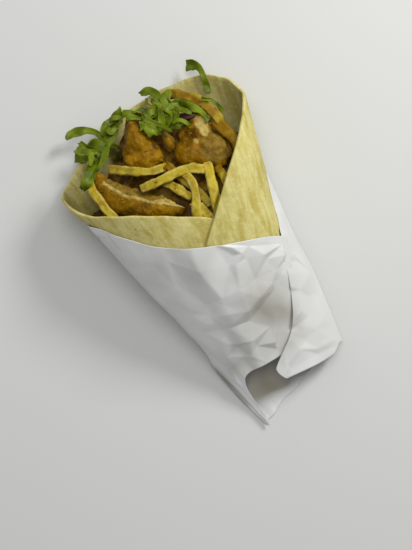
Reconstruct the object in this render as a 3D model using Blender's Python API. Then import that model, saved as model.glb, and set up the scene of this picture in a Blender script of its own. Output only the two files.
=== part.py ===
"""Chicken wrap: a flatbread rolled into a cone round its filling, in a white paper sheet.

The cone lies on its back with its axis along Y. The open mouth faces -Y and the tip +Y.
A place on the cone has a turn and a reach. The turn is the angle in degrees round the
axis, from the -X side over the top to the +X side and on under the base. The reach is
the distance along Y from the point where the cone's sides would meet.
All sizes are in millimetres, and each mesh is made in metres.
"""

import math

import bmesh
import bpy
from mathutils import Vector, noise
from mathutils.bvhtree import BVHTree

MM = 0.001
SHARP_ANGLE = 50
ON_AXIS = 1e-4
PATH_STEP = 0.03
NOISE_OFFSET = (7.3, 3.1, 5.7)

# The cone
POINT_Y = 184.2
CENTRE_X = 0.4
SIDE_SPREAD = 0.253
TOP_ROUNDNESS = 2.1
BASE_ROUNDNESS = 2.6
TOP_HEIGHT = ((80, 6), (100, 9), (115, 12), (140, 18), (170, 26), (200, 32), (230, 36), (260, 38), (300, 38))
BASE_DEPTH = ((80, 2), (100, 5), (115, 8), (140, 15), (170, 22), (200, 28), (230, 32), (260, 35), (300, 37))
BASE_LIFT = 1.5
BASE_LIFT_ENDS = (225, 240)
RIM_CURL = 7.0
RIM_CURL_ENDS = (250, 295)

# The flatbread
BREAD_THICKNESS = 2.0
BREAD_COLUMNS = 54
BREAD_ROWS = 9
BREAD_TURNS = (60, 460)
BREAD_TIP_REACH = 115
BREAD_RIM = (
    (60, 190), (80, 199.5), (97, 210), (124, 224), (146, 233), (161, 238.5), (172, 247), (180, 256),
    (190, 259.5), (210, 265), (230, 273), (250, 281.6), (270, 289.6), (290, 289.6), (310, 284.7),
    (330, 274.4), (350, 263), (370, 257.5), (388, 245.7), (404, 233.7), (428, 211), (452, 187), (460, 178),
)
FLAP_LIFT = 2.7
FLAP_LIFT_TURNS = (372, 414)

# Room for the filling inside the flatbread
FOOD_MARGIN = 1.2
FOOD_SIDE_GAP = 0.5
LOW_FOOD_HEIGHT = 12
OPEN_ENDS = (1, 7)
OPEN_ROOM = 60

# The paper
PAPER_THICKNESS = 0.6
PAPER_PROUD = 1.4
PAPER_HUG_COLUMNS = 42
PAPER_UNDER_COLUMNS = 4
PAPER_FOLD_COLUMNS = 3
PAPER_OVER_COLUMNS = 7
PAPER_ROWS = 10
PAPER_START_TURN = -20
PAPER_FLAP_TURNS = (-14, 28)
PAPER_STEP_TURNS = (101, 119)
PAPER_OUTER_LIFT = 1.4
PAPER_OUTER_TURNS = (298, 324)
LEAVING_FIRST_TURN = 285
LEAVING_LAST_TURN = 345
LEAVING_STEP = 5
TURN_NUDGE = 0.5
COLUMN_SLACK = 0.01
HUG_LAST_TURN = 330
UNDER_TOP_EDGE = (225, 221)
PLEAT_FOLD_RADIUS = 1.8
PLEAT_FOLD_X = ((88, -43), (94, -44.5), (142, -49.5), (170, -50), (194, -52), (209, -53), (225, -53.5))
PLEAT_FOLD_Z = ((88, 5), (94, 5.5), (142, 9), (170, 11), (194, 12), (225, 12))
PLEAT_EDGE_TURN = ((88, 95), (99, 90), (116, 53), (136, 32), (159, 17), (174, 0), (225, -2))
PLEAT_EDGE_PROUD = ((88, 8.5), (99, 8), (136, 6), (174, 5))
PLEAT_BULGE = ((88, 4.5), (140, 3), (180, 1), (225, 0))
PAPER_TOP_EDGE = (
    (-20, 166), (0, 167), (32, 171), (69, 178), (95, 185), (134, 203), (159, 222.6), (180, 234),
    (225, 231), (300, 227), (360, 225),
)
PAPER_LOW_EDGE = (
    (-20, 106), (60, 105), (100, 104), (137, 103), (158, 92), (180, 69), (200, 70), (250, 78), (310, 87),
    (360, 88),
)
UNDER_LOW_EDGE = ((0, 87), (0.8, 88), (1, 92))
OVER_TOP_EDGE = ((0, 221), (1, 172))
OVER_LOW_EDGE = ((0, 93), (0.15, 88), (0.8, 90), (0.92, 92), (1, 99))

# The filling
HEAP_HEIGHT = ((190, 64), (205, 61), (230, 52), (255, 41), (280, 29), (300, 20))
CORE_ENDS = (120, 281)
CORE_END_FULLNESS = 6
CORE_END_BEND = 0.008
CORE_BEND_ENDS = (230, 280)
CORE_DROP = 2.0
CORE_FALL = 0.0035
CORE_BUMP = 1.5
CORE_BUMP_SIZE = 9
CORE_CLIP_ROUNDS = 20
CORE_CLEARANCE = 1.2
CORE_SEGMENTS = 28
CORE_RINGS = 18
CUT_GAP = 0.5
MERGE_DISTANCE = 0.002
SORT_DIRECTION = (0.31, 0.77, 0.56)
SQUARE_ENDS = 4
KNOB_BLEND = 8
KNOB_FAR_SIZE = 0.5
KNOB_FAR_LEAN = 0.2
FRY_HALF_WIDTH = 3.4
FRY_HALF_DEPTH = 3.0
FRY_RINGS = 8
LEAF_STEP = 4.0
LEAF_WAVE = 0.8
LEAF_STEEPEST = 0.6
LEAF_STIFFEN_ROUNDS = 12
LEAF_ROWS = 3
LEAF_REST_GAP = 1.0
LEAF_FEEL = 2.5
LEAF_FEWEST_COLUMNS = 5
LEAF_WAVES = (3, 1.5)
LEAF_SEED = 1.7
ABOVE_ALL = 0.2

# Each fry has its path as distance across, reach and height
FRIES = {
    "across_left": ((31, 258, 38), (20.5, 250, 48.5), (10, 243.5, 53.5), (-1, 241, 52)),
    "across_right": ((20, 237, 53.5), (7.5, 235.5, 57), (-6, 234.5, 57.5), (-13, 232.5, 58), (-20, 228, 57)),
    "upright_right": ((-22.5, 231, 55), (-20, 221, 60.5), (-16, 209, 62.5), (-12, 196, 58)),
    "bent": ((-6.5, 234, 54.5), (-9, 226, 59.5), (-7, 216, 60), (-2.5, 208, 58.5), (0, 198, 55)),
    "behind": ((6, 235, 50), (0.5, 226, 56.5), (-4.5, 217, 58)),
    "beneath": ((-2, 238, 48), (-5.5, 229, 53), (-10, 219, 56), (-12, 208, 57)),
    "short": ((-6, 211, 59), (-8, 203, 57), (-9, 194, 55)),
    "left": ((45.5, 261, 40), (46.5, 249, 45.5), (44.5, 235, 48), (40, 222, 48)),
    "top_brown": ((-21.5, 283, 31), (-30.5, 277, 36), (-38, 267, 41), (-42, 256, 44), (-43, 247, 44)),
    "top_yellow": ((-39.5, 256, 41), (-42.5, 243, 47), (-44.5, 232, 50), (-42, 219, 50)),
    "tip": ((-27, 226, 52), (-27.5, 219, 58), (-27.5, 210, 58)),
    "spike": ((1, 243, 45), (-1.5, 240.5, 54.5), (-2.5, 237, 53)),
    "under_band": ((22, 222, 50), (14, 209, 56), (6, 199, 57)),
}

# Each leaf has its path as distance across, reach and lift off what is under it,
# its half width along the path and its thickness
LEAVES = {
    "lettuce_top_strip": (
        ((-43, 296, 1), (-50, 290, 1), (-48.5, 281, 1), (-47, 273, 1)),
        ((0, 5.5), (0.2, 5), (0.5, 2.4), (1, 2.6)), 0.8),
    "lettuce_beside_wall": (
        ((-39, 269, 0.5), (-44.5, 264, 0.5), (-47.5, 256, 0.5)), ((0, 2), (0.5, 2.6), (1, 1.6)), 0.8),
    "lettuce_beside_fry": (
        ((-23, 277, 1), (-29.5, 270, 0), (-34, 262, 0), (-36.5, 254, 0)), ((0, 2.5), (0.5, 3), (1, 2)), 0.8),
    "lettuce_upright": (
        ((-22.5, 284, 1), (-20, 276, 3), (-17.5, 268, 1)), ((0, 3), (0.5, 4.6), (1, 3.6)), 0.8),
    "lettuce_curl": (
        ((-8, 290, 1), (-12.5, 292, 3), (-17, 288, 5), (-15, 279, 2)), ((0, 3.5), (0.5, 5.5), (1, 3)), 0.8),
    "lettuce_across_back": (
        ((0, 279, 1), (-7, 275.5, 2), (-14, 273, 3), (-20.5, 267, 1)), ((0, 2.5), (0.5, 4), (1, 3)), 0.8),
    "lettuce_across_front": (
        ((2.5, 271, 1), (-5, 269, 2), (-12, 266.5, 2), (-18.5, 261, 1)), ((0, 3), (0.5, 5), (1, 2.5)), 0.8),
    "lettuce_inner": (
        ((1, 264, 0), (-3.5, 265, 1), (-8, 262.5, 1)), ((0, 3), (0.5, 4.2), (1, 2)), 0.8),
    "lettuce_dark": (
        ((8, 284, 0), (3, 281, 0), (-1, 277, 0)), ((0, 2), (0.5, 3), (1, 1.5)), 0.8),
    "lettuce_rib": (
        ((29, 282, 0), (26, 277, 0), (22, 270, 0)), ((0, 3), (0.5, 4), (1, 3)), 1.4),
    "lettuce_tip": (
        ((48, 289, 12), (41, 292.5, 9), (33, 291, 5), (27, 284, 1), (25, 276, 0)),
        ((0, 2), (0.4, 4), (1, 2.5)), 0.8),
    "lettuce_folded": (
        ((7.5, 289, 1), (14, 286, 2), (21.5, 279, 2), (28, 274, 1)), ((0, 4), (0.4, 5), (1, 3)), 0.8),
    "lettuce_leaf_left": (
        ((47, 274, 0), (41, 279, 2), (34, 278.5, 2), (28, 272, 1)), ((0, 3), (0.4, 6), (1, 4)), 0.8),
    "lettuce_strip_left": (
        ((33, 271, 1), (38, 265, 1), (44.5, 259, 1), (52, 254, 0)), ((0, 4.5), (0.5, 5), (1, 2.5)), 0.8),
    "pickle_piece": (
        ((27, 269.5, 0), (24, 267, 1.5), (20.5, 264.5, 0)), ((0, 2.5), (0.5, 4.2), (1, 2.5)), 2.2),
    "onion_piece": (((-22, 266, 0), (-26, 263.5, 1), (-30, 262, 0)), ((0, 2), (0.5, 3.2), (1, 2)), 1.6),
}

# Colours and how rough each surface is
BREAD_COLOUR = (0.57, 0.50, 0.20)
PAPER_COLOUR = (0.72, 0.72, 0.68)
CRUST_COLOUR = (0.24, 0.11, 0.008)
MEAT_COLOUR = (0.28, 0.17, 0.035)
FRY_COLOUR = (0.36, 0.24, 0.02)
LEAF_COLOUR = (0.13, 0.17, 0.012)
OTHER_LEAF_COLOURS = {
    "pickle_piece": (0.16, 0.12, 0.025),
    "onion_piece": (0.09, 0.03, 0.04),
    "lettuce_rib": (0.22, 0.22, 0.08),
}
BREAD_ROUGHNESS = 0.75
PAPER_ROUGHNESS = 0.55
FRY_ROUGHNESS = 0.5
CHICKEN_ROUGHNESS = 0.45
LEAF_ROUGHNESS = 0.4


def smooth_step(value):
    """Ease from 0 to 1."""
    value = min(1.0, max(0.0, value))
    return value * value * (3 - 2 * value)


def through(pairs, at):
    """Read a smooth curve that runs through (place, value) pairs and is level past both ends."""
    if at <= pairs[0][0]:
        return pairs[0][1]
    if at >= pairs[-1][0]:
        return pairs[-1][1]
    index = max(i for i in range(len(pairs) - 1) if pairs[i][0] <= at)

    def slope(i):
        before = pairs[max(i - 1, 0)]
        after = pairs[min(i + 1, len(pairs) - 1)]
        return (after[1] - before[1]) / (after[0] - before[0])

    (place_0, value_0), (place_1, value_1) = pairs[index], pairs[index + 1]
    run = place_1 - place_0
    t = (at - place_0) / run
    ease = t * t * (3 - 2 * t)
    pull_0 = t * (1 - t) ** 2 * run * slope(index)
    pull_1 = t * t * (t - 1) * run * slope(index + 1)
    return value_0 + (value_1 - value_0) * ease + pull_0 + pull_1


def ease_between(ends, at):
    """Ease from 0 at the first end to 1 at the second."""
    return smooth_step((at - ends[0]) / (ends[1] - ends[0]))


def centre_height(reach):
    """Height of the cone's widest line above the ground."""
    lift = BASE_LIFT * (1 - ease_between(BASE_LIFT_ENDS, reach))
    return through(BASE_DEPTH, reach) + lift + RIM_CURL * ease_between(RIM_CURL_ENDS, reach)


def section(turn, reach, proud=0.0):
    """Point of the cone's skin, or of a skin that stands proud of it."""
    cosine = math.cos(math.radians(turn))
    sine = math.sin(math.radians(turn))
    upper = sine >= 0
    power = 2 / (TOP_ROUNDNESS if upper else BASE_ROUNDNESS)
    height = through(TOP_HEIGHT if upper else BASE_DEPTH, reach) + proud
    width = SIDE_SPREAD * reach + proud
    x = -width * math.copysign(abs(cosine) ** power, cosine)
    z = centre_height(reach) + height * math.copysign(abs(sine) ** power, sine)
    return Vector((x, POINT_Y - reach, z))


def half_opening(x, reach, proud, upper):
    """Distance from the widest line up or down to a skin at one x."""
    width = SIDE_SPREAD * reach + proud
    roundness = TOP_ROUNDNESS if upper else BASE_ROUNDNESS
    height = through(TOP_HEIGHT if upper else BASE_DEPTH, reach) + proud
    across = min(1.0, abs(x) / width)
    return height * (1 - across ** roundness) ** (1 / roundness)


def front_rim_reach(x, reach):
    """Reach of the bread's front rim above one x."""
    across = max(-1.0, min(1.0, -x / (SIDE_SPREAD * reach)))
    turn = math.degrees(math.acos(across))
    if x > 0:
        return through(BREAD_RIM, turn)
    return max(through(BREAD_RIM, turn), through(BREAD_RIM, turn + 360))


def keep_inside(point):
    """Move a point of the filling clear of the bread round it."""
    reach = POINT_Y - point.y
    proud = -(BREAD_THICKNESS + FOOD_MARGIN)
    open_by = ease_between(OPEN_ENDS, reach - front_rim_reach(point.x, reach))
    limit = SIDE_SPREAD * reach + proud - FOOD_SIDE_GAP
    middle = centre_height(reach)
    if point.z < middle + LOW_FOOD_HEIGHT or open_by < 1:
        point.x = max(-limit, min(limit, point.x))
    low = middle - half_opening(point.x, reach, proud, False)
    high = middle + half_opening(point.x, reach, proud, True) + OPEN_ROOM * open_by
    point.z = max(low, min(high, point.z))
    return point


def finish_mesh(name, shape, colour, roughness):
    """Make an object in metres, with its own material, from a shape in millimetres."""
    bmesh.ops.translate(shape, verts=shape.verts, vec=(CENTRE_X, 0, 0))
    bmesh.ops.scale(shape, vec=(MM, MM, MM), verts=shape.verts)
    mesh = bpy.data.meshes.new(name)
    shape.to_mesh(mesh)
    shape.free()
    mesh.shade_smooth()
    mesh.set_sharp_from_angle(angle=math.radians(SHARP_ANGLE))
    material = bpy.data.materials.new(name)
    material.use_nodes = True
    surface = material.node_tree.nodes["Principled BSDF"]
    surface.inputs["Base Color"].default_value = (*colour, 1)
    surface.inputs["Roughness"].default_value = roughness
    surface.inputs["Metallic"].default_value = 0
    mesh.materials.append(material)
    piece = bpy.data.objects.new(name, mesh)
    bpy.context.scene.collection.objects.link(piece)
    return piece


def sheet_shape(columns, rows, place):
    """Map a flat grid onto a sheet, with place(column, row share) for each vertex."""
    shape = bmesh.new()
    bmesh.ops.create_grid(shape, x_segments=columns, y_segments=rows, size=0.5)
    for vertex in shape.verts:
        vertex.co = place((vertex.co.x + 0.5) * columns, vertex.co.y + 0.5)
    bmesh.ops.triangulate(shape, faces=shape.faces, quad_method="SHORT_EDGE")
    return shape


def thicken(piece, thickness, side):
    """Give a sheet its thickness, below its face for side -1 and above it for side 1."""
    modifier = piece.modifiers.new("thickness", "SOLIDIFY")
    modifier.thickness = thickness * MM
    modifier.offset = side


def bread_place(column, share):
    """Point of the bread's outer face."""
    turn = BREAD_TURNS[0] + (BREAD_TURNS[1] - BREAD_TURNS[0]) * column / BREAD_COLUMNS
    reach = BREAD_TIP_REACH + (through(BREAD_RIM, turn) - BREAD_TIP_REACH) * share
    return section(turn, reach, FLAP_LIFT * ease_between(FLAP_LIFT_TURNS, turn))


def make_bread():
    """Flatbread rolled once and a little more round, its outer edge lapped over the front."""
    shape = sheet_shape(BREAD_COLUMNS, BREAD_ROWS, bread_place)
    bmesh.ops.reverse_faces(shape, faces=shape.faces)
    bread = finish_mesh("tortilla", shape, BREAD_COLOUR, BREAD_ROUGHNESS)
    thicken(bread, BREAD_THICKNESS, -1)
    return bread


def paper_proud(turn):
    """How far the paper's outer face stands off the cone where it hugs it."""
    flap = ease_between(PAPER_FLAP_TURNS, turn) - ease_between(PAPER_STEP_TURNS, turn)
    return PAPER_PROUD + FLAP_LIFT * flap + PAPER_OUTER_LIFT * ease_between(PAPER_OUTER_TURNS, turn)


def hugging_point(turn, reach):
    """Point of the paper where it lies on the cone."""
    return section(turn, reach, paper_proud(turn))


def tangent_point(centre, outside, side):
    """Where a line from an outside point touches the pleat's fold, as an angle round it."""
    away = outside - centre
    bearing = math.atan2(away.z, away.x)
    distance = math.hypot(away.x, away.z)
    return bearing + side * math.acos(min(1.0, PLEAT_FOLD_RADIUS / distance))


def on_fold(centre, angle):
    """Point of the pleat's fold at an angle round its centre."""
    return centre + Vector((math.cos(angle), 0, math.sin(angle))) * PLEAT_FOLD_RADIUS


def leaving_turn(reach, centre):
    """Turn at which a straight run to the pleat's fold leaves the cone."""
    before = None
    for turn in range(LEAVING_FIRST_TURN, LEAVING_LAST_TURN + 1, LEAVING_STEP):
        here = hugging_point(turn, reach)
        ahead = hugging_point(turn + TURN_NUDGE, reach) - here
        run = on_fold(centre, tangent_point(centre, here, -1)) - here
        twist = (ahead.x * run.z - ahead.z * run.x) / (ahead.length * run.length)
        if twist > 0:
            return turn if before is None else turn - LEAVING_STEP * twist / (twist - before)
        before = twist
    return LEAVING_LAST_TURN


def fold_centre(reach):
    """Centre of the pleat's outer fold."""
    return Vector((through(PLEAT_FOLD_X, reach), POINT_Y - reach, through(PLEAT_FOLD_Z, reach)))


def paper_place(column, share):
    """Point of the paper's outer face: round the cone, out to the pleat's fold and back over it."""
    under_start = PAPER_HUG_COLUMNS
    fold_start = under_start + PAPER_UNDER_COLUMNS
    over_start = fold_start + PAPER_FOLD_COLUMNS
    if column <= under_start + COLUMN_SLACK:
        along = column / PAPER_HUG_COLUMNS
        rough_turn = PAPER_START_TURN + (HUG_LAST_TURN - PAPER_START_TURN) * along
        low = through(PAPER_LOW_EDGE, rough_turn)
        high = through(PAPER_TOP_EDGE, rough_turn)
        reach = low + (high - low) * share
        last_turn = leaving_turn(reach, fold_centre(reach))
        return hugging_point(PAPER_START_TURN + (last_turn - PAPER_START_TURN) * along, reach)
    if column <= over_start + COLUMN_SLACK:
        along = min(1.0, (column - under_start) / PAPER_UNDER_COLUMNS)
        low = through(UNDER_LOW_EDGE, along)
        high = UNDER_TOP_EDGE[0] + (UNDER_TOP_EDGE[1] - UNDER_TOP_EDGE[0]) * along
    else:
        along = (column - over_start) / PAPER_OVER_COLUMNS
        low = through(OVER_LOW_EDGE, along)
        high = through(OVER_TOP_EDGE, along)
    reach = low + (high - low) * share
    centre = fold_centre(reach)
    start = hugging_point(leaving_turn(reach, centre), reach)
    end = section(through(PLEAT_EDGE_TURN, reach), reach, through(PLEAT_EDGE_PROUD, reach))
    under_angle = tangent_point(centre, start, -1) + math.tau
    over_angle = tangent_point(centre, end, 1)
    if column <= fold_start + COLUMN_SLACK:
        return start.lerp(on_fold(centre, under_angle), along)
    if column <= over_start + COLUMN_SLACK:
        turned = (column - fold_start) / PAPER_FOLD_COLUMNS
        return on_fold(centre, under_angle + (over_angle - under_angle) * turned)
    point = on_fold(centre, over_angle).lerp(end, along)
    point.z += through(PLEAT_BULGE, reach) * math.sin(math.pi * along)
    return point


def make_paper():
    """White paper sheet wound round the cone, with a loose pleat on its -X side."""
    columns = PAPER_HUG_COLUMNS + PAPER_UNDER_COLUMNS + PAPER_FOLD_COLUMNS + PAPER_OVER_COLUMNS
    shape = sheet_shape(columns, PAPER_ROWS, paper_place)
    bmesh.ops.reverse_faces(shape, faces=shape.faces)
    paper = finish_mesh("paper_wrap", shape, PAPER_COLOUR, PAPER_ROUGHNESS)
    thicken(paper, PAPER_THICKNESS, -1)
    return paper


def place(x, reach, z):
    """Point from a distance across, a reach and a height."""
    return Vector((x, POINT_Y - reach, z))


def along_path(path, share):
    """Smooth point and direction of a path at a share of its length."""
    spots = [(i / (len(path) - 1), i) for i in range(len(path))]
    axes = [[(spot, path[i][axis]) for spot, i in spots] for axis in range(3)]
    here = Vector([through(pairs, share) for pairs in axes])
    before = Vector([through(pairs, max(0.0, share - PATH_STEP)) for pairs in axes])
    after = Vector([through(pairs, min(1.0, share + PATH_STEP)) for pairs in axes])
    return here, (after - before).normalized()


def bar_shape(path, half_width, half_depth, segments, rings, fullness, start_angle=0.0):
    """Closed bar along a path, from a globe whose poles become the bar's ends.

    The half width is a number or pairs of share and number, measured level; the half
    depth is square to it. A high fullness gives square ends and a low one round ends.
    """
    shape = bmesh.new()
    bmesh.ops.create_uvsphere(shape, u_segments=segments, v_segments=rings, radius=1)
    for vertex in shape.verts:
        polar = math.acos(max(-1.0, min(1.0, vertex.co.z)))
        share = (1 - math.cos(polar)) / 2 if fullness > SQUARE_ENDS else polar / math.pi
        angle = math.atan2(vertex.co.y, vertex.co.x) + start_angle
        on_axis = abs(vertex.co.x) + abs(vertex.co.y) < ON_AXIS
        end = 0.0 if on_axis else max(0.0, 1 - abs(2 * share - 1) ** fullness) ** (1 / fullness)
        here, ahead = along_path(path, share)
        across = ahead.cross(Vector((0, 0, 1))).normalized()
        upward = across.cross(ahead).normalized()
        wide = half_width if isinstance(half_width, (int, float)) else through(half_width, share)
        deep = half_depth if isinstance(half_depth, (int, float)) else through(half_depth, share)
        vertex.co = here + across * (wide * end * math.cos(angle)) + upward * (deep * end * math.sin(angle))
    bmesh.ops.recalc_face_normals(shape, faces=shape.faces)
    return shape


def roughen(shape, height, size, seed):
    """Raise and sink a shape's surface by smooth noise."""
    shape.normal_update()
    offset = Vector(NOISE_OFFSET) * seed
    moves = [vertex.normal * (height * noise.noise(vertex.co / size + offset)) for vertex in shape.verts]
    for vertex, move in zip(shape.verts, moves):
        vertex.co += move


def knobbly_shape(knobs, detail):
    """One closed lump whose outline is the outermost of several round knobs seen from their middle."""
    centre = sum((place(*knob[:3]) for knob in knobs), Vector()) / len(knobs)
    shape = bmesh.new()
    bmesh.ops.create_icosphere(shape, subdivisions=detail, radius=1)
    for vertex in shape.verts:
        ray = vertex.co.normalized()
        reaches = []
        for x, reach, z, radius in knobs:
            away = place(x, reach, z) - centre
            along = away.dot(ray)
            beside = radius * radius - (away.length_squared - along * along)
            if beside > 0 and along + math.sqrt(beside) > 0:
                reaches.append(along + math.sqrt(beside))
            else:
                reaches.append(KNOB_FAR_SIZE * radius + KNOB_FAR_LEAN * along)
        best = sum(distance ** KNOB_BLEND for distance in reaches if distance > 0) ** (1 / KNOB_BLEND)
        vertex.co = centre + ray * best
    return shape


def settle(shape):
    """Keep a piece of filling inside the bread."""
    for vertex in shape.verts:
        vertex.co = keep_inside(vertex.co)
    bmesh.ops.triangulate(shape, faces=shape.faces)
    bmesh.ops.recalc_face_normals(shape, faces=shape.faces)


def make_chicken():
    """Fried chicken pieces that show in the mouth."""
    left = bar_shape(
        [place(11, 238, 38), place(9.5, 252, 45), place(8, 266, 46), place(5.2, 282, 43)],
        ((0, 10), (0.25, 13), (0.6, 9.5), (0.85, 6), (1, 4)), ((0, 6), (0.5, 6.5), (1, 4)), 16, 12, 2.4)
    roughen(left, 2.4, 9, 1)
    right = knobbly_shape(
        [(-17.5, 241.5, 43, 10), (-29, 236, 43, 12), (-28, 251, 40, 8.5), (-31, 257.5, 40, 6.5),
         (-23, 252, 40, 7)], 4)
    roughen(right, 2.2, 7, 2)
    front = bar_shape(
        [place(42, 262, 37), place(38, 246, 43), place(27, 231, 49), place(14, 221, 52), place(2, 213, 53)],
        ((0, 4), (0.2, 8.5), (0.6, 9.5), (1, 7)), ((0, 5), (0.3, 8), (1, 7.5)), 16, 14, 2.8, math.radians(20))
    roughen(front, 2.0, 8, 3)
    small = bar_shape(
        [place(-7.5, 250, 40), place(-8.5, 255, 42), place(-9, 262, 40)],
        ((0, 3), (0.5, 3.8), (1, 3)), 5.5, 12, 8, 2.2)
    roughen(small, 1.0, 6, 4)
    pieces = []
    for name, shape, colour in (
            ("chicken_strip_left", left, CRUST_COLOUR), ("chicken_strip_right", right, MEAT_COLOUR),
            ("chicken_strip_front", front, CRUST_COLOUR), ("chicken_lump", small, MEAT_COLOUR)):
        settle(shape)
        pieces.append(finish_mesh(name, shape, colour, CHICKEN_ROUGHNESS))
    return pieces


def core_top(x, reach):
    """Height of the bare heap at one place."""
    bumps = CORE_BUMP * noise.noise(Vector((x / CORE_BUMP_SIZE, reach / CORE_BUMP_SIZE, 0)))
    return through(HEAP_HEIGHT, reach) - CORE_DROP - CORE_FALL * x * x + bumps


def core_shape():
    """Heap under the pieces that show, filling the bread's cone up to its own top."""
    shape = bmesh.new()
    bmesh.ops.create_uvsphere(shape, u_segments=CORE_SEGMENTS, v_segments=CORE_RINGS, radius=1)
    for vertex in shape.verts:
        share = (1 - vertex.co.z) / 2
        on_axis = abs(vertex.co.x) + abs(vertex.co.y) < ON_AXIS
        spread = 0.0 if on_axis else (1 - abs(2 * share - 1) ** CORE_END_FULLNESS) ** (1 / CORE_END_FULLNESS)
        reach = CORE_ENDS[0] + (CORE_ENDS[1] - CORE_ENDS[0]) * share
        turn = math.degrees(math.atan2(vertex.co.y, -vertex.co.x))
        width = section(turn, reach).x
        reach -= CORE_END_BEND * width * width * ease_between(CORE_BEND_ENDS, reach)
        skin = section(turn, reach, -(BREAD_THICKNESS + CORE_CLEARANCE))
        floor = centre_height(reach) - through(BASE_DEPTH, reach) + BREAD_THICKNESS
        middle = place(0, reach, (floor + min(core_top(0, reach), centre_height(reach))) / 2)
        inner = 0.0
        outer = 1.0
        if skin.z > core_top(skin.x, reach):
            for _ in range(CORE_CLIP_ROUNDS):
                guess = (inner + outer) / 2
                point = middle.lerp(skin, guess)
                if point.z > core_top(point.x, reach):
                    outer = guess
                else:
                    inner = guess
        vertex.co = middle.lerp(skin, outer * spread)
    bmesh.ops.triangulate(shape, faces=shape.faces)
    bmesh.ops.recalc_face_normals(shape, faces=shape.faces)
    return shape


def swollen_copy(piece, gap):
    """Copy of a piece that is larger all round by a gap, for cutting its seat."""
    shape = bmesh.new()
    shape.from_mesh(piece.data)
    shape.normal_update()
    for vertex in shape.verts:
        vertex.co += vertex.normal * gap * MM
    mesh = bpy.data.meshes.new(piece.name + "_seat")
    shape.to_mesh(mesh)
    shape.free()
    return bpy.data.objects.new(piece.name + "_seat", mesh)


def gather(name, pieces):
    """Collection of cutters or of parts to be fused."""
    group = bpy.data.collections.new(name)
    bpy.context.scene.collection.children.link(group)
    for piece in pieces:
        for owner in list(piece.users_collection):
            owner.objects.unlink(piece)
        group.objects.link(piece)
    return group


def apply_boolean(piece, group, operation):
    """Fuse a collection with a piece or cut it out, keep the result and drop the collection."""
    modifier = piece.modifiers.new(operation.lower(), "BOOLEAN")
    modifier.operation = operation
    modifier.operand_type = "COLLECTION"
    modifier.collection = group
    modifier.solver = "MANIFOLD"
    graph = bpy.context.evaluated_depsgraph_get()
    shape = bmesh.new()
    shape.from_object(piece, graph)
    piece.modifiers.clear()
    keep_largest(shape)
    shape.to_mesh(piece.data)
    shape.free()
    for member in list(group.objects):
        bpy.data.objects.remove(member)
    bpy.data.collections.remove(group)


def keep_largest(shape):
    """Drop loose scraps, merge points that all but meet and put the rest in a fixed order."""
    bmesh.ops.remove_doubles(shape, verts=shape.verts, dist=MERGE_DISTANCE * MM)
    bmesh.ops.triangulate(shape, faces=shape.faces)
    left = set(shape.faces)
    islands = []
    while left:
        start = left.pop()
        island = [start]
        for face in island:
            for edge in face.edges:
                for other in edge.link_faces:
                    if other in left:
                        left.remove(other)
                        island.append(other)
        islands.append(island)
    islands.sort(key=lambda island: sum(face.calc_area() for face in island))
    scraps = [face for island in islands[:-1] for face in island]
    bmesh.ops.delete(shape, geom=scraps, context="FACES")
    along = Vector(SORT_DIRECTION)
    shape.verts.sort(key=lambda vertex: vertex.co.dot(along))
    shape.faces.sort(key=lambda face: face.calc_center_median().dot(along))


def make_fries(chicken):
    """Heap of fries in one solid, with seats cut for the chicken that lies in it."""
    fries = finish_mesh("fries", core_shape(), FRY_COLOUR, FRY_ROUGHNESS)
    bars = []
    for name, path in FRIES.items():
        shape = bar_shape(
            [place(*spot) for spot in path], FRY_HALF_WIDTH * math.sqrt(2), FRY_HALF_DEPTH * math.sqrt(2),
            4, FRY_RINGS, 8, math.radians(45))
        settle(shape)
        bars.append(finish_mesh(name, shape, FRY_COLOUR, FRY_ROUGHNESS))
    seats = [swollen_copy(piece, CUT_GAP) for piece in chicken]
    apply_boolean(fries, gather("fused_fries", bars), "UNION")
    apply_boolean(fries, gather("seats", seats), "DIFFERENCE")
    return fries


def height_below(supports, x, y):
    """Highest surface of the supports at one place, or nothing."""
    start = Vector(((x + CENTRE_X) * MM, y * MM, ABOVE_ALL))
    hits = [tree.ray_cast(start, Vector((0, 0, -1)))[0] for tree in supports]
    found = [hit.z / MM for hit in hits if hit is not None]
    return max(found) if found else None


def rest_height(supports, point):
    """Height that clears what lies under a point and a little way round it, or nothing."""
    found = [
        height_below(supports, point.x + dx, point.y + dy)
        for dx in (-LEAF_FEEL, 0, LEAF_FEEL) for dy in (-LEAF_FEEL, 0, LEAF_FEEL)]
    found = [height for height in found if height is not None]
    return max(found) + LEAF_REST_GAP if found else None


def stiffen(shape, rests):
    """Raise the heights at which a leaf rests until it is nowhere steeper than a leaf bends."""
    for _ in range(LEAF_STIFFEN_ROUNDS):
        for edge in shape.edges:
            low, high = sorted(edge.verts, key=rests.get)
            run = (low.co.xy - high.co.xy).length
            rests[low] = max(rests[low], rests[high] - LEAF_STEEPEST * run)


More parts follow.
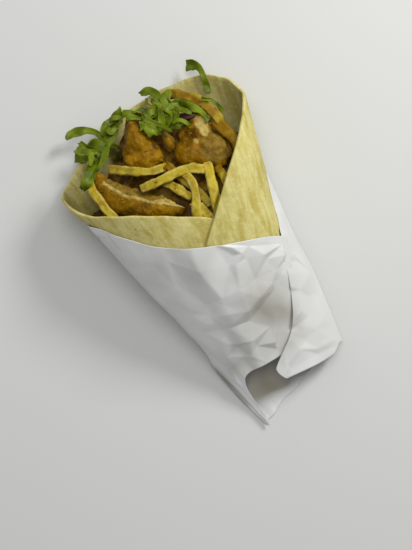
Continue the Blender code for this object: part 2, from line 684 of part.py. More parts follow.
def leaf_piece(name, supports):
    """Wavy strip of leaf laid over what is under it."""
    path, half_width, thickness = LEAVES[name]
    spots = [place(*spot) for spot in path]
    length = sum((b - a).length for a, b in zip(spots, spots[1:]))
    columns = max(LEAF_FEWEST_COLUMNS, round(length / LEAF_STEP))
    seed = Vector((len(name) * LEAF_SEED, spots[0].x, spots[0].y))

    def leaf_place(column, share):
        along = column / columns
        here, ahead = along_path(spots, along)
        across = ahead.cross(Vector((0, 0, 1))).normalized()
        point = here + across * through(half_width, along) * (2 * share - 1)
        spot = seed + Vector((along * LEAF_WAVES[0], share * LEAF_WAVES[1], 0))
        point.z += LEAF_WAVE * (1 + noise.noise(spot))
        return point

    shape = sheet_shape(columns, LEAF_ROWS, leaf_place)
    rests = {vertex: rest_height(supports, vertex.co) for vertex in shape.verts}
    for vertex, height in rests.items():
        rests[vertex] = 0 if height is None else height
    stiffen(shape, rests)
    for vertex, height in rests.items():
        vertex.co.z += height
    leaf = finish_mesh(name, shape, OTHER_LEAF_COLOURS.get(name, LEAF_COLOUR), LEAF_ROUGHNESS)
    if leaf.data.polygons[0].normal.z < 0:
        leaf.data.flip_normals()
    thicken(leaf, thickness, 1)
    return leaf


def make_garnish(supports):
    """Lettuce shreds, an onion piece and a pickle piece, each laid over those before it."""
    graph = bpy.context.evaluated_depsgraph_get()
    trees = [BVHTree.FromObject(piece, graph) for piece in supports]
    pieces = []
    for name in LEAVES:
        leaf = leaf_piece(name, trees)
        graph = bpy.context.evaluated_depsgraph_get()
        trees.append(BVHTree.FromObject(leaf, graph))
        pieces.append(leaf)
    return pieces


def main():
    """Build the wrap."""
    for old in list(bpy.data.objects):
        bpy.data.objects.remove(old)
    holder = bpy.data.objects.new("wrap", None)
    bpy.context.scene.collection.objects.link(holder)
    bread = make_bread()
    paper = make_paper()
    chicken = make_chicken()
    fries = make_fries(chicken)
    garnish = make_garnish([bread, fries, *chicken])
    for piece in (bread, paper, fries, *chicken, *garnish):
        piece.parent = holder


main()
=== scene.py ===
import math
import random

import bmesh
import bpy
from mathutils import Matrix, Vector, noise
from mathutils.bvhtree import BVHTree
from mathutils.geometry import delaunay_2d_cdt


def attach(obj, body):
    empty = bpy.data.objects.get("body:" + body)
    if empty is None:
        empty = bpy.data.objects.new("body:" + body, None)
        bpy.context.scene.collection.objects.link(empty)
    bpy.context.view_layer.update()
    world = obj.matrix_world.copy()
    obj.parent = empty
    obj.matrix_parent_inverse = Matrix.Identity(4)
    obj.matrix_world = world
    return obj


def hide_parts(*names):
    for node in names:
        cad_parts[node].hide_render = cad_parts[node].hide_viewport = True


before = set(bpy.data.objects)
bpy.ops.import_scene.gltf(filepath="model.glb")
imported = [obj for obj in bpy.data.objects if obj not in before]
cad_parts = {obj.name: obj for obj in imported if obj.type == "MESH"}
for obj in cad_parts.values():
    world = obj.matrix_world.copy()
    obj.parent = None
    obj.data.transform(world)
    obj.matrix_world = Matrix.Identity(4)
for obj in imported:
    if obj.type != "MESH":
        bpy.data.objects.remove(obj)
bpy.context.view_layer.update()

# Chicken wrap rolled into a cone in a white paper sheet, lying on its back.
# The cone's axis runs along Y, with the open mouth at -Y and the tip at +Y.
# A place on the cone has a turn, in degrees round the axis from the -X side over the top,
# and a reach, the distance along Y from the point where the cone's sides would meet.
# Shapes are worked out in millimetres and made in metres.

bl_info = {
    "name": "Chicken wrap in a paper cone",
    "version": (1, 0, 0),
    "blender": (4, 5, 0),
    "location": "View3D > Sidebar > Wrap",
    "description": "Models a rolled flatbread with fried chicken, fries and lettuce in a paper sheet",
    "category": "Object",
}

MM = 0.001
DOWN = Vector((0, 0, -1))
# Height in metres from which rays look down on the pieces
RAY_START = 0.2
# Step, as a share of a path, over which its direction is taken
PATH_STEP = 0.03
# Distance from a globe's axis below which a vertex is its pole
POLE_SIZE = 1e-4
# Fullness above which a bar's ends are blunt and its rings are spaced evenly along it
BLUNT_FULLNESS = 4
# Where in the noise a piece's seed takes it
SEED_OFFSET = (7.3, 3.1, 5.7)

# The cone
POINT_Y = 184.2
CENTRE_X = 0.4
SIDE_SPREAD = 0.253
TOP_ROUNDNESS = 2.1
BASE_ROUNDNESS = 2.6
TOP_HEIGHT = ((80, 6), (100, 9), (115, 12), (140, 18), (170, 26), (200, 32), (230, 36), (260, 38), (300, 38))
BASE_DEPTH = ((80, 2), (100, 5), (115, 8), (140, 15), (170, 22), (200, 28), (230, 32), (260, 35), (300, 37))
BASE_LIFT = 1.5
BASE_LIFT_ENDS = (225, 240)
RIM_CURL = 7.0
RIM_CURL_ENDS = (250, 295)

# The flatbread
BREAD_COLUMNS = 220
BREAD_ROWS = 64
BREAD_TURNS = (60, 460)
BREAD_TIP_REACH = 115
BREAD_RIM = (
    (60, 190), (80, 199.5), (97, 210), (124, 224), (146, 233), (161, 238.5), (172, 245.5), (180, 252.5),
    (190, 258.5), (210, 265), (230, 273), (250, 281.6), (270, 289.6), (290, 289.6), (310, 284.7),
    (330, 274.4), (350, 263), (370, 257.5), (388, 245.7), (404, 233.7), (428, 211), (452, 187), (460, 178),
)
FLAP_LIFT = 2.7
CORNER_FLARE = 2.9
CORNER_FLARE_TURN = 184
CORNER_FLARE_SPREAD = 20
CORNER_FLARE_ENDS = (233, 243)
FLAP_LIFT_TURNS = (372, 414)
BREAD_THICKNESS = 2.0
RIM_WAVER = 0.9
RIM_WAVER_LENGTH = 13
PUFFS = ((0.5, 24), (0.22, 8))

# The room for the filling: its gap to the bread, how far past the front rim it is free to rise,
# by how much, and the height over the widest line up to which the side walls hold it
FOOD_MARGIN = 0.8
SIDE_MARGIN = 0.5
OPEN_ENDS = (1, 7)
OPEN_RISE = 60
WALL_HEIGHT = 12

# The paper
PAPER_PROUD = 1.2
PAPER_TOP_COLUMNS = 168
PAPER_BACK_COLUMNS = 42
PAPER_TOP_SHARE = 0.6
PAPER_UNDER_COLUMNS = 12
PAPER_FOLD_COLUMNS = 8
PAPER_OVER_COLUMNS = 66
PAPER_UNDER_START = PAPER_TOP_COLUMNS + PAPER_BACK_COLUMNS
PAPER_FOLD_START = PAPER_UNDER_START + PAPER_UNDER_COLUMNS
PAPER_OVER_START = PAPER_FOLD_START + PAPER_FOLD_COLUMNS
PAPER_COLUMNS = PAPER_OVER_START + PAPER_OVER_COLUMNS
COLUMN_SLACK = 0.01
PAPER_ROWS = 160
PAPER_LOWEST = 0.05
PAPER_START_TURN = -20
PAPER_END_TURN = 330
PAPER_FLAP_TURNS = (-14, 28)
PAPER_STEP_TURNS = (101, 119)
PAPER_OUTER_LIFT = 1.4
PAPER_OUTER_TURNS = (298, 324)
# Turns and reaches at which the place where the paper leaves the cone for the pleat is looked for
LEAVING_FIRST = 285
LEAVING_LAST = 345
LEAVING_STEP = 5
LEAVING_REACHES = (66, 240, 3)
PLEAT_FOLD_RADIUS = 1.8
PLEAT_FOLD_X = ((88, -43), (94, -44.5), (142, -49.5), (170, -50), (194, -52), (209, -53), (225, -53.5))
PLEAT_FOLD_Z = ((88, 5), (94, 5.5), (142, 9), (170, 11), (194, 12), (225, 12))
PLEAT_EDGE_TURN = (
    (88, 95), (99, 90), (116, 55), (136, 37), (159, 29), (168, 22), (176, 14), (184, 0), (192, -12),
    (225, -14),
)
PLEAT_EDGE_PROUD = (
    (88, 8.5), (99, 7.5), (116, 5), (136, 3.6), (159, 3.2), (168, 2.4), (176, 0.9), (184, 0.35),
    (225, 0.35),
)
PLEAT_BULGE = ((88, 4.5), (140, 3), (180, 1), (225, 0))
PAPER_TOP_EDGE = (
    (-20, 166), (0, 167), (32, 171), (69, 178), (95, 185), (134, 203), (159, 222.6), (180, 234),
    (225, 231), (300, 227), (360, 225),
)
PAPER_LOW_EDGE = (
    (-20, 106), (60, 105), (100, 104), (137, 103), (158, 92), (180, 69), (205, 69.5), (235, 72), (262, 76),
    (290, 80), (318, 84.5), (360, 86.5),
)
UNDER_TOP_EDGE = ((0, 225), (1, 221))
UNDER_LOW_EDGE = ((0, 87), (0.8, 88), (1, 92))
OVER_TOP_EDGE = ((0, 222), (1, 214))
OVER_LOW_EDGE = ((0, 93), (0.15, 88), (0.84, 89.4), (0.9, 90.2), (1, 98.5))

# Corners of the front panel's flat facets: distance across, reach and height
FRONT_FACETS = (
    (-70, 60, 0.3), (70, 60, 0.3), (70, 240, 0.2), (-70, 240, 0.2),
    (46, 226, 0.1), (30, 212, 0.1), (12, 196, 0.3), (-2, 186, 0.4), (-20, 175, 0.3), (-40, 166, 0.2),
    (-10.4, 179.3, 1.5), (-14.1, 172.7, 1.9), (-25.1, 165.6, 2.0), (-37.1, 159.0, 1.6),
    (-9.5, 174.5, 0.2), (-15.5, 169.5, 0.3), (-26.0, 162.6, 0.4), (-37.0, 156.0, 0.2),
    (10.5, 190.0, 1.4), (12.7, 175.3, 3.0), (8.6, 154.2, 1.6), (-4.0, 170.0, 0.1),
    (-8.4, 168.6, 1.6), (-2.6, 153.5, 2.6), (26.0, 190.0, 0.6), (34.4, 167.3, 1.0), (24.0, 168.0, 0.5),
    (-22.0, 147.7, 1.4), (-11.2, 143.6, 2.4), (-1.2, 139.6, 3.2), (-24.0, 144.0, -0.3), (-11.0, 138.6, -0.4),
    (1.2, 134.0, 0.0), (14.5, 145.7, 1.7), (29.0, 141.3, 0.8), (19.0, 156.0, 0.6), (14.0, 136.0, 0.5),
    (17.5, 126.2, 1.5), (4.8, 121.3, 1.9), (-6.8, 113.7, 1.6), (15.0, 122.0, 0.0), (4.0, 117.5, 0.1),
    (-6.0, 109.5, 0.2), (23.5, 119.8, 1.0), (10.3, 113.5, 1.3), (3.9, 105.2, 1.0), (-9.0, 124.0, -0.3),
    (-18.0, 132.0, -0.2), (-14.0, 155.0, 0.6), (-28.0, 154.0, 0.4), (43.3, 178.1, 0.8), (32.1, 146.8, 0.6),
)
# The same on the loose pleat
PLEAT_FACETS = (
    (-80, 60, 0), (30, 60, 0), (30, 245, 0), (-80, 245, 0),
    (-45.5, 215, 0.5), (-44, 195, 0.7), (-51.5, 205, 0.0), (-41.0, 176.0, 0.9), (-50.0, 180.0, 0.1),
    (-38.8, 158.4, 1.6), (-31.2, 140.3, 1.8), (-20.3, 119.2, 2.0), (-5.6, 95.2, 1.2),
    (-35.0, 157.0, 0.6), (-27.0, 139.0, 0.5), (-14.5, 117.5, 0.6), (-43.5, 152.0, 0.1), (-38.5, 130.0, 0.2),
    (-44.3, 156.5, 1.3), (-48.9, 141.5, 1.5), (-36.8, 135.3, 0.9), (-31.0, 123.0, 1.2), (-45.5, 128.0, 0.2),
    (-7.7, 97.6, 0.9), (-28.3, 96.8, 1.2), (-42.0, 96.0, 1.0), (-8.0, 94.0, 0.0), (-28.0, 93.2, 0.1),
    (-40.0, 92.5, 0.0), (-33.5, 118.0, 0.1), (-34.3, 107.7, 0.9), (-25.1, 116.2, 0.2), (-19.0, 102.0, 0.8),
    (-24.0, 106.0, 0.0), (-42.0, 112.0, 0.7), (-44.5, 104.0, 0.1), (-49.5, 165.0, 0.5),
)
# The small facets all over the paper
FACET_SEED = 8
FACET_CELLS_ACROSS = (-16, 33)
FACET_CELLS_ALONG = (4, 23)
FACET_JITTER = 0.42
FACET_SPACING = 11.0
FACET_HEIGHT = 1.1
FACET_LOWEST = -0.6
FACET_DEGREE = 0.9
FIELD_TOP = 50
PLEAT_SHARPNESS = 1.5
FOLD_SHARPNESS = 1.5
# How warm or grey the paper is: warmer over the bread where it shows through, warmer and darker
# inside the tail, partly as painted shade, and greyer on the pleat as painted shade, each with the
# reaches, heights or distances over which it comes in or fades
BREAD_SHOWS = 0.20
BREAD_SHOWS_REACHES = (112, 130)
SHOWS_ENDS = (-3, 3)
TAIL_WARMTH = 1.3
TAIL_SHOWS_FIRST = (80, 88)
TAIL_SHOWS_LAST = (110, 126)
PLEAT_SHADE = 0.25
PLEAT_SHADE_ENDS = (12, 22)
CONTACT_FIELD_SHIFT = 31
# How far over the widest line the front panel's facets come in
UPPER_ENDS = (-4.8, 3.2)
PLEAT_JOIN_COLUMNS = 8
# The pleat lies smooth by the bread and at its fold
PLEAT_SMOOTH_REACHES = (150, 165)
PLEAT_SMOOTH_SHARES = (0.8, 1.0)
PLEAT_START_SHARES = (0, 1 / 6)
PLEAT_FIELD_SHIFT = 70
# The edge that curls out on the left of the tail, and the creases beside it
TAIL_ENDS = (138, 113)
SIDE_CURL = 5.0
SIDE_CURL_TURN = 196
SIDE_CURL_SPREAD = 17
TAIL_CREASES = 2.2
TAIL_CREASE_FIRST_TURNS = (162, 177)
TAIL_CREASE_LAST_TURNS = (200, 215)
# Where the food under the paper shows through, with painted shade in the patches beside the pleat
# and towards the tail: distance across, reach, spread and strength
SHOW_THROUGH = (
    (28, 186, 24, 0.24), (16, 176, 18, 0.24), (-5, 163, 12, 0.30), (-16, 132, 26, 0.58), (-6, 114, 22, 0.55),
    (8, 134, 16, 0.12), (9, 110, 18, 0.50), (40, 200, 16, 0.18), (3, 106, 14, 0.50), (24, 112, 12, 0.40),
)

# The filling
HEAP_HEIGHT = ((190, 64), (205, 61), (230, 52), (255, 41), (280, 29), (300, 20))
CORE_ENDS = (120, 281)
CORE_END_BEND = 0.008
CORE_BEND_REACHES = (230, 280)
CORE_FULLNESS = 6
CORE_SEARCH_STEPS = 14
CORE_DROP = 5.0
CORE_FALL = 0.0035
CORE_BUMP = 1.5
CORE_CLEARANCE = 1.2
CORE_SEGMENTS = 150
CORE_RINGS = 150
FRY_SEGMENTS = 32
FRY_RINGS = 48
FRY_FULLNESS = 10
FRY_SQUARENESS = 7
# Height and size of the fries' unevenness, and what it adds to the seed
FRY_ROUGHNESS = ((1.1, 7, 0), (0.5, 2.2, 5))
LEAF_STEP = 0.6
LEAF_ROWS = 14
LEAF_REST_GAP = 0.35
LEAF_STEEPEST = 0.65
LEAF_LOWEST = 1.0
LEAF_TWIST = 1.5
CRUMB_SEED = 11
CRUMB_ACROSS = (-40, 44)
CRUMB_REACHES = (212, 272)
CRUMB_LOWEST = 25
CRUMB_RADIUS = (0.35, 1.1)
# Height, size and seed of the filling's unevenness
CORE_LUMPS = (3.0, 6, 31)
CORE_CRAGS = (1.3, 2.6, 32)
LEAF_SMOOTHING = 3
LEAF_LEAST_COLUMNS = 12
RING_COLUMNS = 64
RING_ROWS = 10
RING_START = -30
RING_SWEEP = 330
SHRED_BEND = 0.8
# Steps along a heaped shred and its lift at each
SHRED_LIFTS = ((-1, 0.5), (0, 2.0), (1, 0.5))
SHRED_PALENESS = (0.0, 0.5)
# Thickness of a shred in metres
SHRED_THICKNESS = 0.0004
# Place, size, power and colour of each lamp
LAMPS = {
    "key": ((-0.80, -0.30, 0.66), 0.32, 7.0, (1.0, 0.985, 0.95)),
    "overhead": ((-0.15, -0.35, 1.25), 0.8, 5.6, (1.0, 0.99, 0.97)),
}
LAMP_TARGET = (0, -0.02, 0.03)
WORLD_STRENGTH = 0.33
FLOOR_SIZE = 3.0
# Angle round the front strip at which its coating is torn off
TORN_LINE = 106

# Fries that show: distance across, reach and height of the points each one runs through
FRIES = {
    "across_left": ((31, 258, 38), (20.5, 250, 48.5), (10, 243.5, 53.5), (-1, 241, 52)),
    "across_right": ((20, 237, 53.5), (7.5, 235.5, 57), (-6, 234.5, 57.5), (-13, 232.5, 58), (-20, 228, 57)),
    "upright_right": ((-22.5, 231, 55), (-20, 221, 60.5), (-16, 209, 62.5), (-12, 196, 58)),
    "bent": ((-6.5, 234, 54.5), (-9, 226, 59.5), (-7, 216, 60), (-2.5, 208, 58.5), (0, 198, 55)),
    "behind": ((6, 235, 50), (0.5, 226, 56.5), (-4.5, 217, 58)),
    "beneath": ((-2, 238, 48), (-5.5, 229, 53), (-10, 219, 56), (-12, 208, 57)),
    "short": ((-6, 211, 59), (-8, 203, 57), (-9, 194, 55)),
    "left": ((45.5, 261, 40), (46.5, 249, 45.5), (44.5, 235, 48), (40, 222, 48)),
    "top_brown": ((-21.5, 283, 31), (-30.5, 277, 36), (-38, 267, 41), (-42, 256, 44), (-43, 247, 44)),
    "top_yellow": ((-39.5, 256, 41), (-42.5, 243, 47), (-44.5, 232, 50), (-42, 219, 50)),
    "tip": ((-27, 226, 52), (-27.5, 219, 58), (-27.5, 210, 58)),
    "spike": ((1, 243, 45), (-1.5, 240.5, 54.5), (-2.5, 237, 53)),
    "under_band": ((22, 222, 50), (14, 209, 56), (6, 199, 57)),
}
# Bars of chicken: places along each as distance across, reach and height, half widths and half depths
CHICKEN_BARS = {
    "left": (
        ((11, 238, 38), (9.5, 252, 45), (8, 266, 46), (5.2, 282, 43)),
        ((0, 10), (0.25, 12), (0.6, 9.5), (0.85, 5.5), (1, 3.0)), ((0, 6), (0.5, 8.0), (1, 4.5))),
    "front": (
        ((42, 262, 37), (38, 246, 43), (27, 231, 49), (14, 221, 52), (2, 213, 53)),
        ((0, 4), (0.2, 8.5), (0.6, 9.5), (1, 7)), ((0, 5), (0.3, 8), (1, 7.5))),
    "lump": (((-7.5, 250, 40), (-8.5, 255, 42), (-9, 262, 40)), ((0, 3), (0.5, 3.8), (1, 3)), 5.5),
}
# Height, size and seed of each piece's swellings
CHICKEN_SWELLS = {"left": (2.8, 9, 1), "front": (1.5, 10, 3), "right": (2.0, 7, 2), "lump": (1.0, 6, 4)}
COATING_LUMPS = (0.7, 3.2)
COATING_CRAGS = (0.16, 1.3)
CRAG_SEED_SHIFT = 10
# Knobs of the right piece: distance across, reach, height and radius
CHICKEN_KNOBS = (
    (-17.5, 241.5, 43, 10), (-29, 236, 43, 12), (-28, 251, 40, 8.5), (-31, 257.5, 40, 6.5), (-23, 252, 40, 7),
)
KNOB_DETAIL = 7
# How strongly the outermost knob wins over the others
KNOB_SHARPNESS = 8
# How browned each fry is; on top_brown and top_yellow, which lie in the shade of the bread's flap, the extra
# browning is partly painted shade.
FRY_BROWNING = {
    "top_brown": 0.75, "top_yellow": 1.1, "spike": 0.45, "beneath": 0.25, "behind": 0.28, "across_left": 0.08,
}
FRY_WIDENING = {"top_brown": 1.2, "top_yellow": 1.3, "across_right": 1.1, "upright_right": 1.1}

# Each leaf's path as distance across, reach and lift off what is under it, its half width
# along the path, its thickness, how pale it is and how far round it curls
LEAVES = {
    "lettuce_top_strip": (
        ((-43, 296, 1), (-49, 291, 1), (-48.5, 281, 1), (-47, 273, 1)),
        ((0, 4.0), (0.16, 4.4), (0.34, 2.2), (1, 1.8)), 0.5, 0.1, 20),
    "lettuce_beside_wall": (
        ((-39, 269, 0.5), (-44.5, 264, 0.5), (-47.5, 256, 0.5)), ((0, 1.7), (1, 1.4)), 0.5, 0.0, 20),
    "lettuce_beside_fry": (
        ((-23, 277, 1), (-29.5, 270, 0), (-34, 262, 0), (-36.5, 254, 0)), ((0, 2.2), (0.5, 2.6), (1, 1.6)),
        0.5, 0.35, 20),
    "lettuce_upright": (
        ((-22.5, 284, 1), (-20, 276, 3), (-17.5, 268, 1)), ((0, 3.2), (0.5, 3.8), (1, 3.4)), 0.5, 0.65, 25),
    "lettuce_curl": (
        ((-8, 290, 1), (-12.5, 290, 2), (-16, 286, 2), (-15, 279, 2)), ((0, 2.6), (1, 2.8)), 0.5, 0.1, 25),
    "lettuce_across_back": (
        ((0, 279, 1), (-7, 275.5, 2), (-14, 273, 3), (-20.5, 267, 1)), ((0, 2.8), (0.5, 3.4), (1, 2.6)),
        0.5, 0.2, 25),
    "lettuce_across_front": (
        ((2.5, 271, 1), (-5, 270, 2), (-12, 266.5, 2), (-20.5, 259.5, 1)), ((0, 3.4), (0.5, 4), (1, 2.6)),
        0.5, 0.5, 20),
    "lettuce_inner": (
        ((1, 264, 0), (-3.5, 265, 1), (-8, 262.5, 1)), ((0, 3.2), (0.5, 3.9), (1, 3)), 0.5, 0.3, 25),
    "lettuce_dark": (
        ((8, 284, 0), (3, 281, 0), (-1, 277, 0)), ((0, 2.2), (1, 2)), 0.5, 0.0, 20),
    "lettuce_rib": (
        ((29, 282, 0), (26, 277, 0), (22, 270, 0)), ((0, 2.2), (1, 2)), 1.2, 0.7, 30),
    "lettuce_tip": (
        ((47.5, 291.5, 12), (42, 292.5, 10), (36, 291, 7), (29, 286.5, 2), (25, 277, 0)),
        ((0, 1.2), (0.2, 2.9), (0.5, 2.9), (0.62, 2.2), (1, 2)), 0.5, 0.3, 15),
    "lettuce_folded": (
        ((7.5, 289, 1), (14, 286, 2), (21.5, 279, 2), (28, 274, 1)), ((0, 4), (0.4, 4.3), (1, 3)),
        0.5, 0.1, 30),
    "lettuce_leaf_left": (
        ((47, 274, 0), (41, 279, 2), (34, 278.5, 2), (28, 272, 1)), ((0, 3.4), (0.4, 5.2), (1, 4)),
        0.5, 0.1, 30),
    "lettuce_strip_left": (
        ((33, 271, 1), (38, 265, 1), (44.5, 259, 1), (52, 254, 0)),
        ((0, 4), (0.5, 4.5), (0.85, 3.4), (1, 2.2)), 0.5, 0.1, 30),
    "pickle_piece": (
        ((27, 269.5, 0), (24, 267, 1.5), (20.5, 264.5, 0)), ((0, 2), (0.5, 3.6), (1, 2)), 2.0, 0, 30),
    "onion_piece": (
        ((-21, 266.5, 0), (-25, 263.5, 0.5), (-30, 261, 0)), ((0, 1.6), (0.5, 2.4), (1, 1)), 1.0, 0, 20),
}
# Loose shreds of lettuce: path, half width and how pale each is
SHREDS = (
    (((-9, 279, 0.5), (-12, 276.5, 1.5), (-17, 276, 0.5)), 1.5, 0.3),
    (((-18.5, 262, 0.5), (-21.5, 265.5, 2.5), (-24, 270, 4.5)), 1.8, 0.35),
    (((-17, 264.5, 0.5), (-21.5, 262, 1.5), (-25, 257.5, 0.5)), 1.5, 0.3),
    (((-22, 271, 0.5), (-26, 267, 1), (-29, 263, 0)), 1.4, 0.1),
    (((9.8, 285.5, 0.5), (15, 288, 2.0), (21, 286, 2.5)), 1.5, 0.2),
    (((7.5, 279.5, 0), (3.5, 278.5, 1), (-1, 275, 0.5)), 1.5, 0.05),
    (((23.5, 274, 0.5), (28, 269, 1), (32, 264, 1), (38, 260, 0)), 1.8, 0.1),
    (((-2, 273, 0.5), (-6, 269, 2), (-10, 264.5, 1.5), (-13, 259, 0)), 1.4, 0.4),
    (((-12, 283, 0.5), (-14, 277.5, 2), (-12.5, 271, 1)), 1.6, 0.25),
    (((40, 282, 1), (36, 275, 1.5), (33, 268, 1)), 1.6, 0.3),
)

# Where small shreds are heaped: distance across, reach, spread both ways and how many
SHRED_HEAPS = ((-9, 273, 10, 8, 9), (19, 283, 6, 4, 2), (37, 272, 5, 4, 2))
SHRED_SEED = 5
SHRED_LENGTH = (9, 15)
SHRED_HALF_WIDTH = (1.5, 2.5)

# Camera, straight above, turned as the photograph is
CAMERA_PLACE = (0.0111, 0.01225, 0.850)
CAMERA_TURN = 151.2
VIEW_HEIGHT = 0.3575
SENSOR = 36.0


class WrapSizes(bpy.types.PropertyGroup):
    """Sizes that a user may change."""
    bread_thickness: bpy.props.FloatProperty(
        name="Flatbread thickness", description="Thickness of the flatbread", default=0.002, unit="LENGTH")
    paper_thickness: bpy.props.FloatProperty(
        name="Paper thickness", description="Thickness of the paper sheet", default=0.0003, unit="LENGTH")
    fry_width: bpy.props.FloatProperty(
        name="Fry width", description="Width of a fry across its flat side", default=0.0053, unit="LENGTH")
    fry_depth: bpy.props.FloatProperty(
        name="Fry depth", description="Depth of a fry", default=0.0050, unit="LENGTH")
    crumb_count: bpy.props.IntProperty(
        name="Crumbs", description="Number of loose crumbs of coating", default=34)


def colour_property(name, description, default):
    """Colour property with three linear channels."""
    return bpy.props.FloatVectorProperty(
        name=name, description=description, default=default, size=3, subtype="COLOR", min=0, max=1)


class WrapColours(bpy.types.PropertyGroup):
    """Colours that a user may change."""
    bread: colour_property("Flatbread", "Pale ground of the flatbread", (0.64, 0.585, 0.23))
    bread_golden: colour_property("Golden streaks", "Griddled streaks on the flatbread", (0.45, 0.365, 0.07))
    toast: colour_property("Toasted spots", "Darker spots of the flatbread", (0.20, 0.125, 0.025))
    paper: colour_property("Paper", "Outer face of the paper", (0.75, 0.765, 0.765))
    # Also the colour of the shade painted on the paper in the tail, beside the pleat and on the pleat.
    paper_warm: colour_property(
        "Paper over food", "Paper where what is under it shows through", (0.275, 0.252, 0.188))
    crust: colour_property("Chicken coating", "Golden fried coating", (0.31, 0.158, 0.0015))
    browned: colour_property("Browned coating", "Darker fried coating", (0.085, 0.036, 0.001))
    meat: colour_property("Torn meat", "Meat where the coating is torn", (0.245, 0.155, 0.022))
    cream: colour_property("White meat", "Palest torn meat", (0.49, 0.38, 0.11))
    fry: colour_property("Fries", "Pale side of a fry", (0.47, 0.36, 0.02))
    # Also the colour of the painted shade on the fries' sideways and downward faces.
    fry_brown: colour_property("Fry edges", "Browned edges of a fry", (0.225, 0.12, 0.002))
    leaf: colour_property("Lettuce", "Fresh green", (0.100, 0.146, 0.001))
    leaf_dark: colour_property("Dark lettuce", "Deep green", (0.034, 0.052, 0.001))
    # Also the colour of the painted highlight along the leaf rims.
    leaf_pale: colour_property("Pale lettuce", "Rib and rim", (0.23, 0.30, 0.02))
    pickle: colour_property("Pickle", "Greenish brown", (0.16, 0.12, 0.008))
    onion: colour_property("Onion", "Dark purple", (0.075, 0.035, 0.035))
    filling: colour_property("Filling", "Dark mixed filling between the pieces", (0.068, 0.030, 0.0015))
    floor: colour_property("Floor", "Plain pale floor", (0.64, 0.65, 0.64))


def smooth_step(value):
    """Ease from 0 to 1."""
    value = clamp(value)
    return value * value * (3 - 2 * value)


def ease_between(ends, at):
    """Ease from 0 at the first end to 1 at the second."""
    return smooth_step((at - ends[0]) / (ends[1] - ends[0]))


def bell(at, middle, spread):
    """1 at the middle, falling evenly to 0 on both sides."""
    return math.exp(-((at - middle) / spread) ** 2)


def clamp(value, low=0.0, high=1.0):
    """Nearest value within a range."""
    return max(low, min(high, value))


def through(pairs, at):
    """Read a smooth curve that runs through (place, value) pairs and is level past both ends."""
    if at <= pairs[0][0]:
        return pairs[0][1]
    if at >= pairs[-1][0]:
        return pairs[-1][1]
    index = 0
    while pairs[index + 1][0] <= at:
        index += 1

    def slope(i):
        before = pairs[max(i - 1, 0)]
        after = pairs[min(i + 1, len(pairs) - 1)]
        return (after[1] - before[1]) / (after[0] - before[0])

    (place_0, value_0), (place_1, value_1) = pairs[index], pairs[index + 1]
    run = place_1 - place_0
    t = (at - place_0) / run
    ease = t * t * (3 - 2 * t)
    pull_0 = t * (1 - t) ** 2 * run * slope(index)
    pull_1 = t * t * (t - 1) * run * slope(index + 1)
    return value_0 + (value_1 - value_0) * ease + pull_0 + pull_1


def centre_height(reach):
    """Height of the cone's widest line above the ground."""
    lift = BASE_LIFT * (1 - ease_between(BASE_LIFT_ENDS, reach))
    curl = RIM_CURL * ease_between(RIM_CURL_ENDS, reach)
    return through(BASE_DEPTH, reach) + lift + curl


def section(turn, reach, proud=0.0):
    """Point of the cone's skin, or of a skin that stands proud of it."""
    cosine = math.cos(math.radians(turn))
    sine = math.sin(math.radians(turn))
    upper = sine >= 0
    power = 2 / (TOP_ROUNDNESS if upper else BASE_ROUNDNESS)
    height = through(TOP_HEIGHT if upper else BASE_DEPTH, reach) + proud
    width = SIDE_SPREAD * reach + proud
    x = -width * math.copysign(abs(cosine) ** power, cosine)
    z = centre_height(reach) + height * math.copysign(abs(sine) ** power, sine)
    return Vector((x, POINT_Y - reach, z))


def half_opening(x, reach, proud, upper):
    """Distance from the widest line up or down to a skin at one x."""
    width = SIDE_SPREAD * reach + proud
    roundness = TOP_ROUNDNESS if upper else BASE_ROUNDNESS
    height = through(TOP_HEIGHT if upper else BASE_DEPTH, reach) + proud
    across = min(1.0, abs(x) / width)
    return height * (1 - across ** roundness) ** (1 / roundness)


def front_rim_reach(x, reach):
    """Reach of the bread's front rim above one x."""
    across = clamp(-x / (SIDE_SPREAD * reach), -1.0)
    turn = math.degrees(math.acos(across))
    if x > 0:
        return through(BREAD_RIM, turn)
    return max(through(BREAD_RIM, turn), through(BREAD_RIM, turn + 360))


def keep_inside(point):
    """Move a point of the filling clear of the bread round it."""
    reach = POINT_Y - point.y
    proud = -(BREAD_THICKNESS + FOOD_MARGIN)
    open_by = ease_between(OPEN_ENDS, reach - front_rim_reach(point.x, reach))
    limit = SIDE_SPREAD * reach + proud - SIDE_MARGIN
    middle = centre_height(reach)
    if point.z < middle + WALL_HEIGHT or open_by < 1:
        point.x = clamp(point.x, -limit, limit)
    low = middle - half_opening(point.x, reach, proud, False)
    high = middle + half_opening(point.x, reach, proud, True) + OPEN_RISE * open_by
    point.z = clamp(point.z, low, high)
    return point


def place(x, reach, z):
    """Point from a distance across, a reach and a height."""
    return Vector((x, POINT_Y - reach, z))


def add_piece(name, shape, materials, replaced=(), modifiers=()):
    """Make an object in metres from a shape in millimetres and tie it to the wrap's one body."""
    bmesh.ops.translate(shape, verts=shape.verts, vec=(CENTRE_X, 0, 0))
    bmesh.ops.scale(shape, vec=(MM, MM, MM), verts=shape.verts)
    mesh = bpy.data.meshes.new(name)
    shape.to_mesh(mesh)
    shape.free()
    mesh.shade_smooth()
    for material in materials:
        mesh.materials.append(material)
    piece = bpy.data.objects.new(name, mesh)
    bpy.context.scene.collection.objects.link(piece)
    for kind, values in modifiers:
        modifier = piece.modifiers.new(kind.lower(), kind)
        for key, value in values.items():
            setattr(modifier, key, value)
    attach(piece, "root")
    if replaced:
        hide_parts(*replaced)
    return piece


